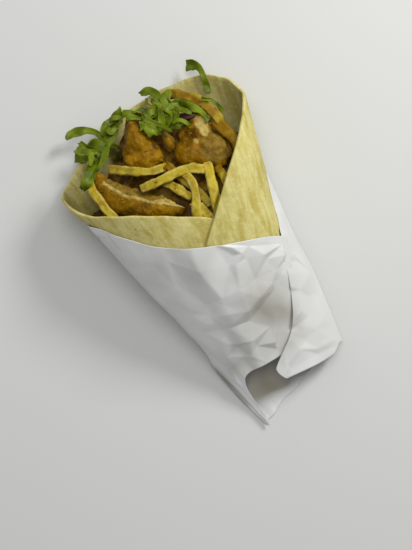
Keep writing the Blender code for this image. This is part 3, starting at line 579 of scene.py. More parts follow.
def sheet_shape(columns, rows, put, scale=(1.0, 1.0)):
    """Map a flat grid onto a sheet by put(column, row share), with the grid kept as its UV map."""
    shape = bmesh.new()
    bmesh.ops.create_grid(shape, x_segments=columns, y_segments=rows, size=0.5)
    sheet = shape.loops.layers.uv.new("sheet")
    for face in shape.faces:
        for loop in face.loops:
            spot = loop.vert.co
            loop[sheet].uv = ((spot.x + 0.5) * scale[0], (spot.y + 0.5) * scale[1])
    for vertex in shape.verts:
        vertex.co = put((vertex.co.x + 0.5) * columns, vertex.co.y + 0.5)
    return shape


def thickness_modifier(thickness, side, inner_material=0):
    """Settings that give a sheet its thickness in metres."""
    return ("SOLIDIFY", {"thickness": thickness, "offset": side, "material_offset": inner_material})


def along_path(path, share):
    """Smooth point and direction of a path at a share of its length."""
    last = len(path) - 1
    axes = [[(i / last, path[i][axis]) for i in range(last + 1)] for axis in range(3)]
    before, here, after = (
        Vector([through(pairs, clamp(share + step)) for pairs in axes])
        for step in (-PATH_STEP, 0, PATH_STEP))
    return here, (after - before).normalized()


def measure(size, share):
    """A size that is one number or (place, value) pairs, at a share of the way."""
    return size if isinstance(size, (int, float)) else through(size, share)


def rounded_end(share, fullness):
    """How wide a bar is at a share of its length, from 0 at its ends to 1."""
    return max(0.0, 1 - abs(2 * share - 1) ** fullness) ** (1 / fullness)


def is_pole(vertex):
    """Whether a globe's vertex is one of its poles."""
    return abs(vertex.co.x) + abs(vertex.co.y) < POLE_SIZE


def bar_shape(path, half_width, half_depth, segments, rings, fullness, squareness=2.0, start_angle=0.0):
    """Closed bar along a path, from a globe whose poles become the bar's ends.

    Its vertices keep their share along the bar and their angle round it.
    """
    path = [place(*spot) for spot in path]
    shape = bmesh.new()
    bmesh.ops.create_uvsphere(shape, u_segments=segments, v_segments=rings, radius=1)
    along = shape.verts.layers.float.new("along")
    around = shape.verts.layers.float.new("around")
    for vertex in shape.verts:
        polar = math.acos(clamp(vertex.co.z, -1.0))
        share = (1 - math.cos(polar)) / 2 if fullness > BLUNT_FULLNESS else polar / math.pi
        angle = math.atan2(vertex.co.y, vertex.co.x) + start_angle
        end = 0.0 if is_pole(vertex) else rounded_end(share, fullness)
        cosine, sine = math.cos(angle), math.sin(angle)
        end /= (abs(cosine) ** squareness + abs(sine) ** squareness) ** (1 / squareness)
        here, ahead = along_path(path, share)
        across = ahead.cross(Vector((0, 0, 1))).normalized()
        upward = across.cross(ahead).normalized()
        wide = measure(half_width, share) * end * cosine
        deep = measure(half_depth, share) * end * sine
        vertex[along] = share
        vertex[around] = angle
        vertex.co = here + across * wide + upward * deep
    bmesh.ops.recalc_face_normals(shape, faces=shape.faces)
    return shape


def raise_surface(shape, rise):
    """Move every vertex along its normal by rise(vertex), measured before any of them moves."""
    moves = [vertex.normal * rise(vertex) for vertex in shape.verts]
    for vertex, move in zip(shape.verts, moves):
        vertex.co += move


def roughen(shape, height, size, seed, ridged=False):
    """Raise and sink a shape's surface by smooth noise, or by ridged noise for crags."""
    shape.normal_update()
    offset = Vector(SEED_OFFSET) * seed

    def rise(vertex):
        value = noise.noise(vertex.co / size + offset)
        return height * (0.5 - 2 * abs(value) if ridged else value)

    raise_surface(shape, rise)


def knobbly_shape(knobs, detail):
    """One closed lump whose outline is the outermost of several round knobs seen from their middle."""
    centre = sum((place(*knob[:3]) for knob in knobs), Vector()) / len(knobs)
    shape = bmesh.new()
    bmesh.ops.create_icosphere(shape, subdivisions=detail, radius=1)
    for vertex in shape.verts:
        ray = vertex.co.normalized()
        reaches = []
        for x, reach, z, radius in knobs:
            away = place(x, reach, z) - centre
            forward = away.dot(ray)
            beside = radius * radius - (away.length_squared - forward * forward)
            if beside > 0 and forward + math.sqrt(beside) > 0:
                reaches.append(forward + math.sqrt(beside))
            else:
                reaches.append(0.5 * radius + 0.2 * forward)
        best = sum(distance ** KNOB_SHARPNESS for distance in reaches if distance > 0) ** (1 / KNOB_SHARPNESS)
        vertex.co = centre + ray * best
    return shape


def settle(shape):
    """Keep a closed piece of filling inside the bread and turn its faces outwards."""
    for vertex in shape.verts:
        vertex.co = keep_inside(vertex.co)
    if shape.calc_volume(signed=True) < 0:
        bmesh.ops.reverse_faces(shape, faces=shape.faces)


# Materials

def new_material(name, roughness, **constants):
    """Material with a Principled surface, its node tree and its colours."""
    material = bpy.data.materials.new(name)
    material.use_nodes = True
    tree = material.node_tree
    surface = tree.nodes["Principled BSDF"]
    surface.inputs["Roughness"].default_value = roughness
    for key, value in constants.items():
        surface.inputs[key.replace("_", " ")].default_value = value
    return material, tree, bpy.context.scene.wrap_colours


def add_node(tree, kind, links=None, **values):
    """Add a node with its settings, and link or set its inputs."""
    node = tree.nodes.new(kind)
    for key, value in values.items():
        setattr(node, key, value)
    for key, value in (links or {}).items():
        socket = node.inputs[key]
        if isinstance(value, bpy.types.NodeSocket):
            tree.links.new(value, socket)
        else:
            socket.default_value = value
    return node


def mix_colours(tree, factor, first, second, blend="MIX"):
    """Colour between two colours by a factor."""
    node = tree.nodes.new("ShaderNodeMix")
    node.data_type = "RGBA"
    node.blend_type = blend
    for socket, value in ((node.inputs[0], factor), (node.inputs[6], first), (node.inputs[7], second)):
        if isinstance(value, bpy.types.NodeSocket):
            tree.links.new(value, socket)
        elif isinstance(value, (int, float)):
            socket.default_value = value
        else:
            socket.default_value = (*value, 1)
    return node.outputs[2]


def new_group(name, inputs, output, output_kind):
    """Empty shader group with named sockets, and its input and output nodes."""
    group = bpy.data.node_groups.new(name, "ShaderNodeTree")
    for socket_name, kind, default in inputs:
        socket = group.interface.new_socket(name=socket_name, in_out="INPUT", socket_type=kind)
        if default is not None:
            socket.default_value = default
    group.interface.new_socket(name=output, in_out="OUTPUT", socket_type=output_kind)
    return group, group.nodes.new("NodeGroupInput"), group.nodes.new("NodeGroupOutput")


def blotch_group():
    """Mask of soft blotches from noise, with their size and how much they cover."""
    group, given, result = new_group(
        "blotches",
        (("Vector", "NodeSocketVector", None), ("Scale", "NodeSocketFloat", 10.0),
         ("Detail", "NodeSocketFloat", 3.0), ("Low", "NodeSocketFloat", 0.4),
         ("High", "NodeSocketFloat", 0.6)),
        "Mask", "NodeSocketFloat")
    pattern = add_node(group, "ShaderNodeTexNoise", {
        "Vector": given.outputs["Vector"], "Scale": given.outputs["Scale"],
        "Detail": given.outputs["Detail"]})
    ramp = add_node(group, "ShaderNodeMapRange", {
        "Value": pattern.outputs["Fac"], "From Min": given.outputs["Low"], "From Max": given.outputs["High"]},
        interpolation_type="SMOOTHSTEP")
    group.links.new(ramp.outputs["Result"], result.inputs["Mask"])
    return group


def spot_group():
    """Mask of separate uneven spots, each in its own cell."""
    group, given, result = new_group(
        "spots",
        (("Vector", "NodeSocketVector", None), ("Scale", "NodeSocketFloat", 4.0),
         ("Radius", "NodeSocketFloat", 0.2), ("Softness", "NodeSocketFloat", 0.12)),
        "Mask", "NodeSocketFloat")
    waver = add_node(group, "ShaderNodeTexNoise", {
        "Vector": given.outputs["Vector"], "Scale": 14.0, "Detail": 3.0})
    shift = add_node(group, "ShaderNodeVectorMath", {0: waver.outputs["Color"], 1: (0.5, 0.5, 0.5)},
                     operation="SUBTRACT")
    nudge = add_node(group, "ShaderNodeVectorMath", {0: shift.outputs[0], "Scale": 0.22}, operation="SCALE")
    moved = add_node(group, "ShaderNodeVectorMath", {0: given.outputs["Vector"], 1: nudge.outputs[0]},
                     operation="ADD")
    cells = add_node(group, "ShaderNodeTexVoronoi", {
        "Vector": moved.outputs[0], "Scale": given.outputs["Scale"], "Randomness": 1.0})
    far = add_node(group, "ShaderNodeMath", {0: given.outputs["Radius"], 1: given.outputs["Softness"]},
                   operation="ADD")
    ramp = add_node(group, "ShaderNodeMapRange", {
        "Value": cells.outputs["Distance"], "From Min": given.outputs["Radius"], "From Max": far.outputs[0],
        "To Min": 1.0, "To Max": 0.0})
    group.links.new(ramp.outputs["Result"], result.inputs["Mask"])
    return group


def relief_group():
    """Normal of a fine uneven surface, from noise."""
    group, given, result = new_group(
        "fine_relief",
        (("Vector", "NodeSocketVector", None), ("Scale", "NodeSocketFloat", 300.0),
         ("Strength", "NodeSocketFloat", 0.3), ("Depth", "NodeSocketFloat", 0.0005)),
        "Normal", "NodeSocketVector")
    pattern = add_node(group, "ShaderNodeTexNoise", {
        "Vector": given.outputs["Vector"], "Scale": given.outputs["Scale"], "Detail": 4.0})
    bump = add_node(group, "ShaderNodeBump", {
        "Height": pattern.outputs["Fac"], "Strength": given.outputs["Strength"],
        "Distance": given.outputs["Depth"]})
    group.links.new(bump.outputs["Normal"], result.inputs["Normal"])
    return group


def use_group(tree, name, output, **values):
    """Output of a shared group placed in a material with its own values."""
    makers = {"blotches": blotch_group, "spots": spot_group, "fine_relief": relief_group}
    group = bpy.data.node_groups.get(name) or makers[name]()
    node = tree.nodes.new("ShaderNodeGroup")
    node.node_tree = group
    for key, value in values.items():
        if isinstance(value, bpy.types.NodeSocket):
            tree.links.new(value, node.inputs[key])
        else:
            node.inputs[key].default_value = value
    return node.outputs[output]


def object_coordinates(tree):
    """Coordinates of the piece itself, in metres."""
    return add_node(tree, "ShaderNodeTexCoord").outputs["Object"]


def sheet_coordinates(tree, stretch=(1, 1, 1)):
    """The piece's UV map, stretched."""
    spot = add_node(tree, "ShaderNodeUVMap", uv_map="sheet").outputs["UV"]
    return add_node(tree, "ShaderNodeMapping", {"Vector": spot, "Scale": stretch}).outputs["Vector"]


def attribute(tree, name):
    """Value that the piece's vertices keep under a name."""
    return add_node(tree, "ShaderNodeAttribute", attribute_name=name).outputs["Fac"]


def scaled(tree, value, factor, plus=0.0):
    """A value times a factor, plus another, kept between 0 and 1."""
    return add_node(tree, "ShaderNodeMath", {0: value, 1: factor, 2: plus}, operation="MULTIPLY_ADD",
                    use_clamp=True).outputs[0]


def product(tree, first, second):
    """Two values multiplied."""
    return add_node(tree, "ShaderNodeMath", {0: first, 1: second}, operation="MULTIPLY").outputs[0]


def blotches(tree, where, scale, detail, low, high):
    """Mask of soft blotches."""
    return use_group(tree, "blotches", "Mask", Vector=where, Scale=scale, Detail=detail, Low=low, High=high)


def finish_surface(tree, colour, where, scale, strength, depth):
    """Give the material's surface its colour and its fine relief."""
    surface = tree.nodes["Principled BSDF"]
    normal = use_group(tree, "fine_relief", "Normal", Vector=where, Scale=scale, Strength=strength,
                       Depth=depth)
    tree.links.new(colour, surface.inputs["Base Color"])
    tree.links.new(normal, surface.inputs["Normal"])


def bread_material(name, shade, spot_scale, spot_size):
    """Soft griddled flatbread: pale ground, lengthwise golden streaks, toasted spots and flour."""
    material, tree, colours = new_material(name, 0.72, Specular_IOR_Level=0.3)
    solid = object_coordinates(tree)
    sheet = sheet_coordinates(tree)
    broad = blotches(tree, sheet_coordinates(tree, (6.0, 1.3, 1.0)), 2.4, 5.0, 0.44, 0.66)
    thin = blotches(tree, sheet_coordinates(tree, (26.0, 2.2, 1.0)), 2.2, 4.0, 0.40, 0.75)
    mottle = blotches(tree, solid, 120.0, 6.0, 0.38, 0.66)
    flour = blotches(tree, solid, 420.0, 3.0, 0.50, 0.72)
    grain = blotches(tree, solid, 900.0, 2.0, 0.50, 0.75)
    spots = use_group(tree, "spots", "Mask", Vector=sheet, Scale=spot_scale, Radius=spot_size,
                      Softness=0.5 * spot_size)
    choice = blotches(tree, sheet, 2.6, 1.0, 0.50, 0.56)
    spots = product(tree, spots, choice)
    pale = tuple(channel * shade for channel in colours.bread)
    golden = tuple(channel * shade for channel in colours.bread_golden)
    colour = mix_colours(tree, scaled(tree, broad, 0.85), pale, golden)
    colour = mix_colours(tree, scaled(tree, thin, 0.48), colour, golden)
    colour = mix_colours(tree, scaled(tree, mottle, 0.30), colour, golden)
    colour = mix_colours(tree, scaled(tree, spots, 0.68), colour, colours.toast)
    colour = mix_colours(tree, scaled(tree, grain, 0.16), colour, colours.toast)
    colour = mix_colours(tree, scaled(tree, flour, 0.20), colour, (0.80, 0.77, 0.52))
    finish_surface(tree, colour, solid, 380.0, 0.5, 0.0007)
    return material


def paper_material(name, least):
    """Greaseproof paper: white, warmer where what is under it shows through, darker in the tail and beside
    the pleat and greyer on the pleat, where shade is painted on it.
    """
    material, tree, colours = new_material(name, 0.36, Specular_IOR_Level=0.45)
    solid = object_coordinates(tree)
    clouds = blotches(tree, solid, 30.0, 2.0, 0.25, 0.75)
    through_it = scaled(tree, attribute(tree, "contact"), 1.0, least)
    cloudy = scaled(tree, clouds, 0.45, 0.60)
    factor = product(tree, cloudy, through_it)
    colour = mix_colours(tree, factor, colours.paper, colours.paper_warm)
    finish_surface(tree, colour, solid, 170.0, 0.16, 0.0005)
    return material


def chicken_material():
    """Fried coating from gold to brown with a fine crumb, and torn meat where the coating is off."""
    material, tree, colours = new_material("fried_chicken", 0.5, Specular_IOR_Level=0.09)
    solid = object_coordinates(tree)
    patches = blotches(tree, solid, 170.0, 5.0, 0.36, 0.64)
    broad = blotches(tree, solid, 62.0, 2.0, 0.38, 0.66)
    fine = blotches(tree, solid, 520.0, 4.0, 0.50, 0.70)
    brown = scaled(tree, broad, 0.30, scaled(tree, patches, 0.24, attribute(tree, "browning")))
    colour = mix_colours(tree, brown, colours.crust, colours.browned)
    colour = mix_colours(tree, scaled(tree, fine, 0.34), colour, (0.48, 0.28, 0.012))
    fibres = blotches(tree, solid, 300.0, 6.0, 0.40, 0.64)
    meat = mix_colours(tree, scaled(tree, fibres, 0.6), colours.meat, (0.15, 0.08, 0.008))
    cream = mix_colours(tree, scaled(tree, fibres, 0.5), colours.cream, colours.meat)
    colour = mix_colours(tree, attribute(tree, "meat"), colour, meat)
    colour = mix_colours(tree, attribute(tree, "cream"), colour, cream)
    finish_surface(tree, colour, solid, 560.0, 0.8, 0.0006)
    return material


def fry_material():
    """Fried potato: pale yellow, browned in patches and at the ends, darker on the faces that turn sideways
    or down as painted shade, paler at the cut ends and with a painted highlight along the upward-facing
    edges, slightly oily.
    """
    material, tree, colours = new_material("fries", 0.45, Specular_IOR_Level=0.14)
    solid = object_coordinates(tree)
    patches = blotches(tree, solid, 150.0, 5.0, 0.42, 0.68)
    fine = blotches(tree, solid, 520.0, 3.0, 0.48, 0.72)
    # The browning attribute also holds painted shade on the fries' sideways and downward faces.
    brown = scaled(tree, patches, 0.50, attribute(tree, "browning"))
    colour = mix_colours(tree, brown, colours.fry, colours.fry_brown)
    unbrowned = scaled(tree, brown, -0.34, 0.34)
    speckle = product(tree, fine, unbrowned)
    colour = mix_colours(tree, speckle, colour, (0.64, 0.52, 0.12))
    # Paler at the cut ends, and along the upward-facing edges as a painted highlight.
    colour = mix_colours(tree, attribute(tree, "pale_end"), colour, (0.60, 0.52, 0.17))
    finish_surface(tree, colour, solid, 380.0, 0.7, 0.0007)
    return material


def leaf_material():
    """Lettuce: pale ribs, rims lightened as a painted highlight, darker in patches, with a soft wet gloss."""
    material, tree, colours = new_material(
        "lettuce", 0.36, Specular_IOR_Level=0.14, Subsurface_Weight=0.2, Subsurface_Scale=0.002)
    solid = object_coordinates(tree)
    patches = blotches(tree, solid, 90.0, 2.0, 0.44, 0.70)
    colour = mix_colours(tree, patches, colours.leaf, colours.leaf_dark)
    veins = blotches(tree, sheet_coordinates(tree, (1.2, 5.0, 1.0)), 3.5, 2.0, 0.54, 0.70)
    colour = mix_colours(tree, scaled(tree, veins, 0.22), colour, colours.leaf_pale)
    colour = mix_colours(tree, scaled(tree, attribute(tree, "paleness"), 0.8), colour, colours.leaf_pale)
    finish_surface(tree, colour, solid, 200.0, 0.25, 0.0005)
    return material


def wet_material(name, colour, darker, roughness):
    """Wet vegetable piece with cloudy darker parts."""
    material, tree, _ = new_material(name, roughness, Specular_IOR_Level=0.15)
    solid = object_coordinates(tree)
    clouds = blotches(tree, solid, 160.0, 4.0, 0.35, 0.65)
    finish_surface(tree, mix_colours(tree, clouds, colour, darker), solid, 300.0, 0.3, 0.0005)
    return material


def filling_material():
    """Dark mixed filling under the pieces that show."""
    material, tree, colours = new_material("mixed_filling", 0.45, Specular_IOR_Level=0.15)
    solid = object_coordinates(tree)
    patches = blotches(tree, solid, 95.0, 3.0, 0.46, 0.62)
    colour = mix_colours(tree, patches, colours.filling, (0.21, 0.115, 0.008))
    finish_surface(tree, colour, solid, 420.0, 0.7, 0.0008)
    return material


# Shapes of the flatbread and the paper

def bread_put(column, share):
    """Point of the bread's outer face, with its shallow puffs and its uneven rim."""
    turn = BREAD_TURNS[0] + (BREAD_TURNS[1] - BREAD_TURNS[0]) * column / BREAD_COLUMNS
    rim = through(BREAD_RIM, turn) + RIM_WAVER * noise.noise(Vector((turn / RIM_WAVER_LENGTH, 0, 4.2)))
    reach = BREAD_TIP_REACH + (rim - BREAD_TIP_REACH) * share
    lift = FLAP_LIFT * ease_between(FLAP_LIFT_TURNS, turn)
    corner = bell(turn, CORNER_FLARE_TURN, CORNER_FLARE_SPREAD)
    lift += CORNER_FLARE * corner * ease_between(CORNER_FLARE_ENDS, reach)
    point = section(turn, reach, lift)
    puff = sum(height * noise.noise(point / size) for height, size in PUFFS)
    return section(turn, reach, lift + puff)


def paper_proud(turn):
    """How far the paper's outer face stands off the cone where it hugs it."""
    flap = ease_between(PAPER_FLAP_TURNS, turn) - ease_between(PAPER_STEP_TURNS, turn)
    return PAPER_PROUD + FLAP_LIFT * flap + PAPER_OUTER_LIFT * ease_between(PAPER_OUTER_TURNS, turn)


def hugging_point(turn, reach, more=0.0):
    """Point of the paper where it lies on the cone."""
    return section(turn, reach, paper_proud(turn) + more)


def tangent_point(centre, outside, side):
    """Where a line from an outside point touches the pleat's fold, as an angle round it."""
    away = outside - centre
    bearing = math.atan2(away.z, away.x)
    distance = math.hypot(away.x, away.z)
    return bearing + side * math.acos(min(1.0, PLEAT_FOLD_RADIUS / distance))


def on_fold(centre, angle):
    """Point of the pleat's fold at an angle round its centre."""
    return centre + Vector((math.cos(angle), 0, math.sin(angle))) * PLEAT_FOLD_RADIUS


def fold_centre(reach):
    """Centre of the pleat's outer fold."""
    return Vector((through(PLEAT_FOLD_X, reach), POINT_Y - reach, through(PLEAT_FOLD_Z, reach)))


def find_leaving_turn(reach):
    """Turn at which a straight run to the pleat's fold leaves the cone."""
    centre = fold_centre(reach)
    before = None
    for turn in range(LEAVING_FIRST, LEAVING_LAST + 1, LEAVING_STEP):
        here = hugging_point(turn, reach)
        ahead = hugging_point(turn + 0.5, reach) - here
        run = on_fold(centre, tangent_point(centre, here, -1)) - here
        twist = (ahead.x * run.z - ahead.z * run.x) / (ahead.length * run.length)
        if twist > 0:
            return turn if before is None else turn - LEAVING_STEP * twist / (twist - before)
        before = twist
    return LEAVING_LAST


LEAVING_TURNS = [(reach, find_leaving_turn(reach)) for reach in range(*LEAVING_REACHES)]


def facet_field(corners):
    """Search tree over the flat facets between corners that each have a height."""
    spots, _, faces, origins, _, _ = delaunay_2d_cdt(
        [Vector(corner[:2]) for corner in corners], [], [], 0, 1e-5)
    points = [Vector((spot.x, spot.y, corners[origin[0]][2])) for spot, origin in zip(spots, origins)]
    return BVHTree.FromPolygons(points, faces)


def small_corners():
    """Corners of the small facets, one in each cell of an uneven grid."""
    rng = random.Random(FACET_SEED)
    corners = []
    for i in range(*FACET_CELLS_ACROSS):
        for j in range(*FACET_CELLS_ALONG):
            across, along = (
                (cell + rng.uniform(-FACET_JITTER, FACET_JITTER)) * FACET_SPACING for cell in (i, j))
            corners.append((across, along, rng.uniform(-FACET_HEIGHT, FACET_HEIGHT) * rng.random()))
    return corners


FRONT_FIELD = facet_field(FRONT_FACETS)
PLEAT_FIELD = facet_field(PLEAT_FACETS)
SMALL_FIELD = facet_field(small_corners())


def facet_height(field, across, reach):
    """Height of a field of facets at one place."""
    hit = field.ray_cast(Vector((across, reach, FIELD_TOP)), DOWN)[0]
    return 0.0 if hit is None else hit.z


def paper_along(column):
    """Share of the way round the cone of one column: close columns over the top, wide ones behind."""
    if column <= PAPER_TOP_COLUMNS:
        return PAPER_TOP_SHARE * column / PAPER_TOP_COLUMNS
    return PAPER_TOP_SHARE + (1 - PAPER_TOP_SHARE) * (column - PAPER_TOP_COLUMNS) / PAPER_BACK_COLUMNS


def round_the_cone(column, share):
    """Point of the paper on its way round the cone, with its facets and its curled edge."""
    along = paper_along(column)
    rough_turn = PAPER_START_TURN + (PAPER_END_TURN - PAPER_START_TURN) * along
    low = through(PAPER_LOW_EDGE, rough_turn)
    high = through(PAPER_TOP_EDGE, rough_turn)
    reach = low + (high - low) * share
    turn = PAPER_START_TURN + (through(LEAVING_TURNS, reach) - PAPER_START_TURN) * along
    point = hugging_point(turn, reach)
    upper = ease_between(UPPER_ENDS, point.z - centre_height(reach))
    relief = FOLD_SHARPNESS * facet_height(FRONT_FIELD, point.x, reach) * upper
    relief += facet_height(SMALL_FIELD, turn * FACET_DEGREE, reach) * (0.4 + 0.6 * upper)
    near_end = ease_between((PAPER_UNDER_START - PLEAT_JOIN_COLUMNS, PAPER_UNDER_START), column)
    creased = ease_between(TAIL_CREASE_FIRST_TURNS, turn) - ease_between(TAIL_CREASE_LAST_TURNS, turn)
    curl = SIDE_CURL * bell(turn, SIDE_CURL_TURN, SIDE_CURL_SPREAD)
    curl += TAIL_CREASES * creased * noise.noise(Vector((turn / 7, reach / 35, 2.7)))
    more = curl * ease_between(TAIL_ENDS, reach) + max(FACET_LOWEST, relief) * (1 - near_end)
    point = hugging_point(turn, reach, more)
    point.z = max(PAPER_LOWEST, point.z)
    return point


def paper_put(column, share):
    """Point of the paper's outer face: round the cone, out to the pleat's fold and back over it."""
    if column <= PAPER_UNDER_START + COLUMN_SLACK:
        return round_the_cone(column, share)
    if column <= PAPER_OVER_START + COLUMN_SLACK:
        along = min(1.0, (column - PAPER_UNDER_START) / PAPER_UNDER_COLUMNS)
        edges = UNDER_LOW_EDGE, UNDER_TOP_EDGE
    else:
        along = (column - PAPER_OVER_START) / PAPER_OVER_COLUMNS
        edges = OVER_LOW_EDGE, OVER_TOP_EDGE
    low, high = (through(edge, along) for edge in edges)
    reach = low + (high - low) * share
    centre = fold_centre(reach)
    start = hugging_point(through(LEAVING_TURNS, reach), reach)
    end = section(through(PLEAT_EDGE_TURN, reach), reach, through(PLEAT_EDGE_PROUD, reach))
    under_angle = tangent_point(centre, start, -1) + math.tau
    over_angle = tangent_point(centre, end, 1)
    if column <= PAPER_FOLD_START + COLUMN_SLACK:
        return start.lerp(on_fold(centre, under_angle), along)
    if column <= PAPER_OVER_START + COLUMN_SLACK:
        turned = (column - PAPER_FOLD_START) / PAPER_FOLD_COLUMNS
        return on_fold(centre, under_angle + (over_angle - under_angle) * turned)
    point = on_fold(centre, over_angle).lerp(end, along)
    point.z += through(PLEAT_BULGE, reach) * math.sin(math.pi * along)
    relief = PLEAT_SHARPNESS * facet_height(PLEAT_FIELD, point.x, reach)
    relief += facet_height(SMALL_FIELD, point.x + PLEAT_FIELD_SHIFT, reach)
    near_bread = ease_between(PLEAT_SMOOTH_REACHES, reach) * ease_between(PLEAT_SMOOTH_SHARES, along)
    point.z += relief * ease_between(PLEAT_START_SHARES, along) * (1 - near_bread)
    return point


def mark_contact(shape):
    """Mark how much what is under the paper shows through it, and where shade is painted on it: inside the
    tail, beside the pleat and on the pleat.
    """
    contact = shape.verts.layers.float.new("contact")
    for vertex in shape.verts:
        x, reach = vertex.co.x, POINT_Y - vertex.co.y
        warmth = BREAD_SHOWS * ease_between(BREAD_SHOWS_REACHES, reach)
        upper = ease_between(SHOWS_ENDS, vertex.co.z - centre_height(reach))
        # Patches where the food shows through; beside the pleat and towards the tail they are painted shade
        # as well.
        warmth += upper * max(strength * bell(math.hypot(x - middle_x, reach - middle), 0, spread)
                              for middle_x, middle, spread, strength in SHOW_THROUGH)
        in_tail = ease_between(TAIL_SHOWS_FIRST, reach) * (1 - ease_between(TAIL_SHOWS_LAST, reach))
        # Inside the tail: warmth where what is under the paper shows through, and painted shade.
        warmth = max(warmth, TAIL_WARMTH * in_tail * (1 - upper))
        off_pleat = ease_between(PLEAT_SHADE_ENDS, x - through(PLEAT_FOLD_X, reach))
        uneven = 0.9 + 0.5 * facet_height(SMALL_FIELD, x + CONTACT_FIELD_SHIFT, reach)
        # On the pleat the paper is painted greyer: painted shade.
        vertex[contact] = clamp(warmth * off_pleat * uneven + PLEAT_SHADE * (1 - off_pleat))


class WRAP_OT_bread(bpy.types.Operator):
    """Model the rolled flatbread"""
    bl_idname = "wrap.bread"
    bl_label = "Flatbread"

    def execute(self, context):
        sizes = context.scene.wrap_sizes
        outer = bread_material("flatbread_outer", 1.0, 9.0, 0.07)
        inner = bread_material("flatbread_inner", 0.80, 12.0, 0.15)
        shape = sheet_shape(BREAD_COLUMNS, BREAD_ROWS, bread_put, (3.2, 1.6))
        bmesh.ops.reverse_faces(shape, faces=shape.faces)
        rim = ("BEVEL", {"width": 0.0006, "segments": 2, "limit_method": "ANGLE",
                         "angle_limit": math.radians(60), "profile": 0.5, "material": -1})
        add_piece("flatbread", shape, (outer, inner), ("tortilla",),
                  (thickness_modifier(sizes.bread_thickness, -1, 1), rim))
        return {"FINISHED"}


class WRAP_OT_paper(bpy.types.Operator):
    """Model the paper sheet with its creases and its loose pleat"""
    bl_idname = "wrap.paper"
    bl_label = "Paper sheet"

    def execute(self, context):
        sizes = context.scene.wrap_sizes
        shape = sheet_shape(PAPER_COLUMNS, PAPER_ROWS, paper_put)
        bmesh.ops.reverse_faces(shape, faces=shape.faces)
        mark_contact(shape)
        add_piece("paper_sheet", shape,
                  (paper_material("paper_outer", 0.0), paper_material("paper_inner", 0.06)),
                  ("paper_wrap",), (thickness_modifier(sizes.paper_thickness, -1, 1),))
        return {"FINISHED"}


def mark(shape, name, value_at):
    """Keep a value for each vertex under a name."""
    layer = shape.verts.layers.float.get(name) or shape.verts.layers.float.new(name)
    for vertex in shape.verts:
        vertex[layer] = clamp(value_at(vertex))


def angle_between(angle, low, high, soft):
    """How far an angle in degrees lies within a range, with soft ends."""
    middle = (low + high) / 2
    off = abs((angle - middle + 180) % 360 - 180)
    return smooth_step(((high - low) / 2 - off) / soft + 0.5)


def left_strip_shape():
    """Pointed strip that stands in the middle of the mouth, with a ridge along it."""
    shape = bar_shape(*CHICKEN_BARS["left"], 120, 120, 2.6, 1.4)
    roughen(shape, *CHICKEN_SWELLS["left"])
    along = shape.verts.layers.float["along"]
    around = shape.verts.layers.float["around"]

    def browning(vertex):
        # Darker along both sides of the strip: fried browning, and painted shade beside its lit ridge.
        edge = abs(math.cos(vertex[around])) ** 2
        tip = smooth_step((vertex[along] - 0.72) / 0.25)
        return 0.85 * edge + 0.6 * tip + 0.9 * noise.noise(vertex.co / 7) - 0.20

    mark(shape, "browning", browning)
    mark(shape, "meat", lambda vertex: 0.0)
    mark(shape, "cream", lambda vertex: 0.0)
    return shape


def front_strip_shape():
    """Strip along the front rim: coating towards the front, a pale torn edge and torn meat behind."""
    shape = bar_shape(*CHICKEN_BARS["front"], 130, 150, 2.8, 2.0, math.radians(20))
    roughen(shape, *CHICKEN_SWELLS["front"])
    along = shape.verts.layers.float["along"]
    around = shape.verts.layers.float["around"]

    def torn_line(vertex):
        return TORN_LINE + 12 * noise.noise(Vector((vertex[along] * 6, 0, 2))) + 5 * noise.noise(
            Vector((vertex[along] * 26, 0, 5)))

    def torn(vertex):
        low = torn_line(vertex) + 6
        inward = smooth_step((vertex[along] - 0.10) / 0.1)
        return angle_between(math.degrees(vertex[around]), low, 225, 8) * inward

    def pale_edge(vertex):
        line = torn_line(vertex)
        spread = 7 + 34 * smooth_step((vertex[along] - 0.60) / 0.25)
        return angle_between(math.degrees(vertex[around]), line - 9, line + spread, 5) * smooth_step(
            (vertex[along] - 0.14) / 0.08) * (0.95 + 0.7 * noise.noise(vertex.co / 3))

    mark(shape, "meat", torn)
    mark(shape, "cream", pale_edge)
    mark(shape, "browning", lambda vertex: 0.28 + 0.8 * noise.noise(vertex.co / 9) + 0.5 * vertex[
        shape.verts.layers.float["meat"]])
    shape.normal_update()
    meat = shape.verts.layers.float["meat"]
    cream = shape.verts.layers.float["cream"]

    def torn_relief(vertex):
        fibre = noise.noise(Vector((vertex.co.x / 1.6, vertex.co.y / 3.5, vertex.co.z / 2.5)))
        return vertex[meat] * (0.8 * fibre - 1.9) + 0.5 * vertex[cream]

    raise_surface(shape, torn_relief)
    return shape


def right_piece_shape():
    """Large piece on the right: golden knobs, a tan torn face and a cream torn bump."""
    shape = knobbly_shape(CHICKEN_KNOBS, KNOB_DETAIL)
    roughen(shape, *CHICKEN_SWELLS["right"])

    def near(vertex, x, reach, radius):
        return smooth_step((radius - math.hypot(vertex.co.x - x, POINT_Y - vertex.co.y - reach)
                            + 1.6 * noise.noise(vertex.co / 3.5)) / 1.6 + 0.5)

    mark(shape, "meat", lambda vertex: max(near(vertex, -33, 238, 10), near(vertex, -35, 246, 6)))
    mark(shape, "cream", lambda vertex: max(
        near(vertex, -32, 255.5, 4.6), near(vertex, -31, 249.5, 2.8), near(vertex, -24, 246.5, 1.6) * 0.6))
    mark(shape, "browning", lambda vertex: (
        0.20 + 0.9 * noise.noise(vertex.co / 8) + 0.5 * near(vertex, -24, 257, 5)))
    return shape


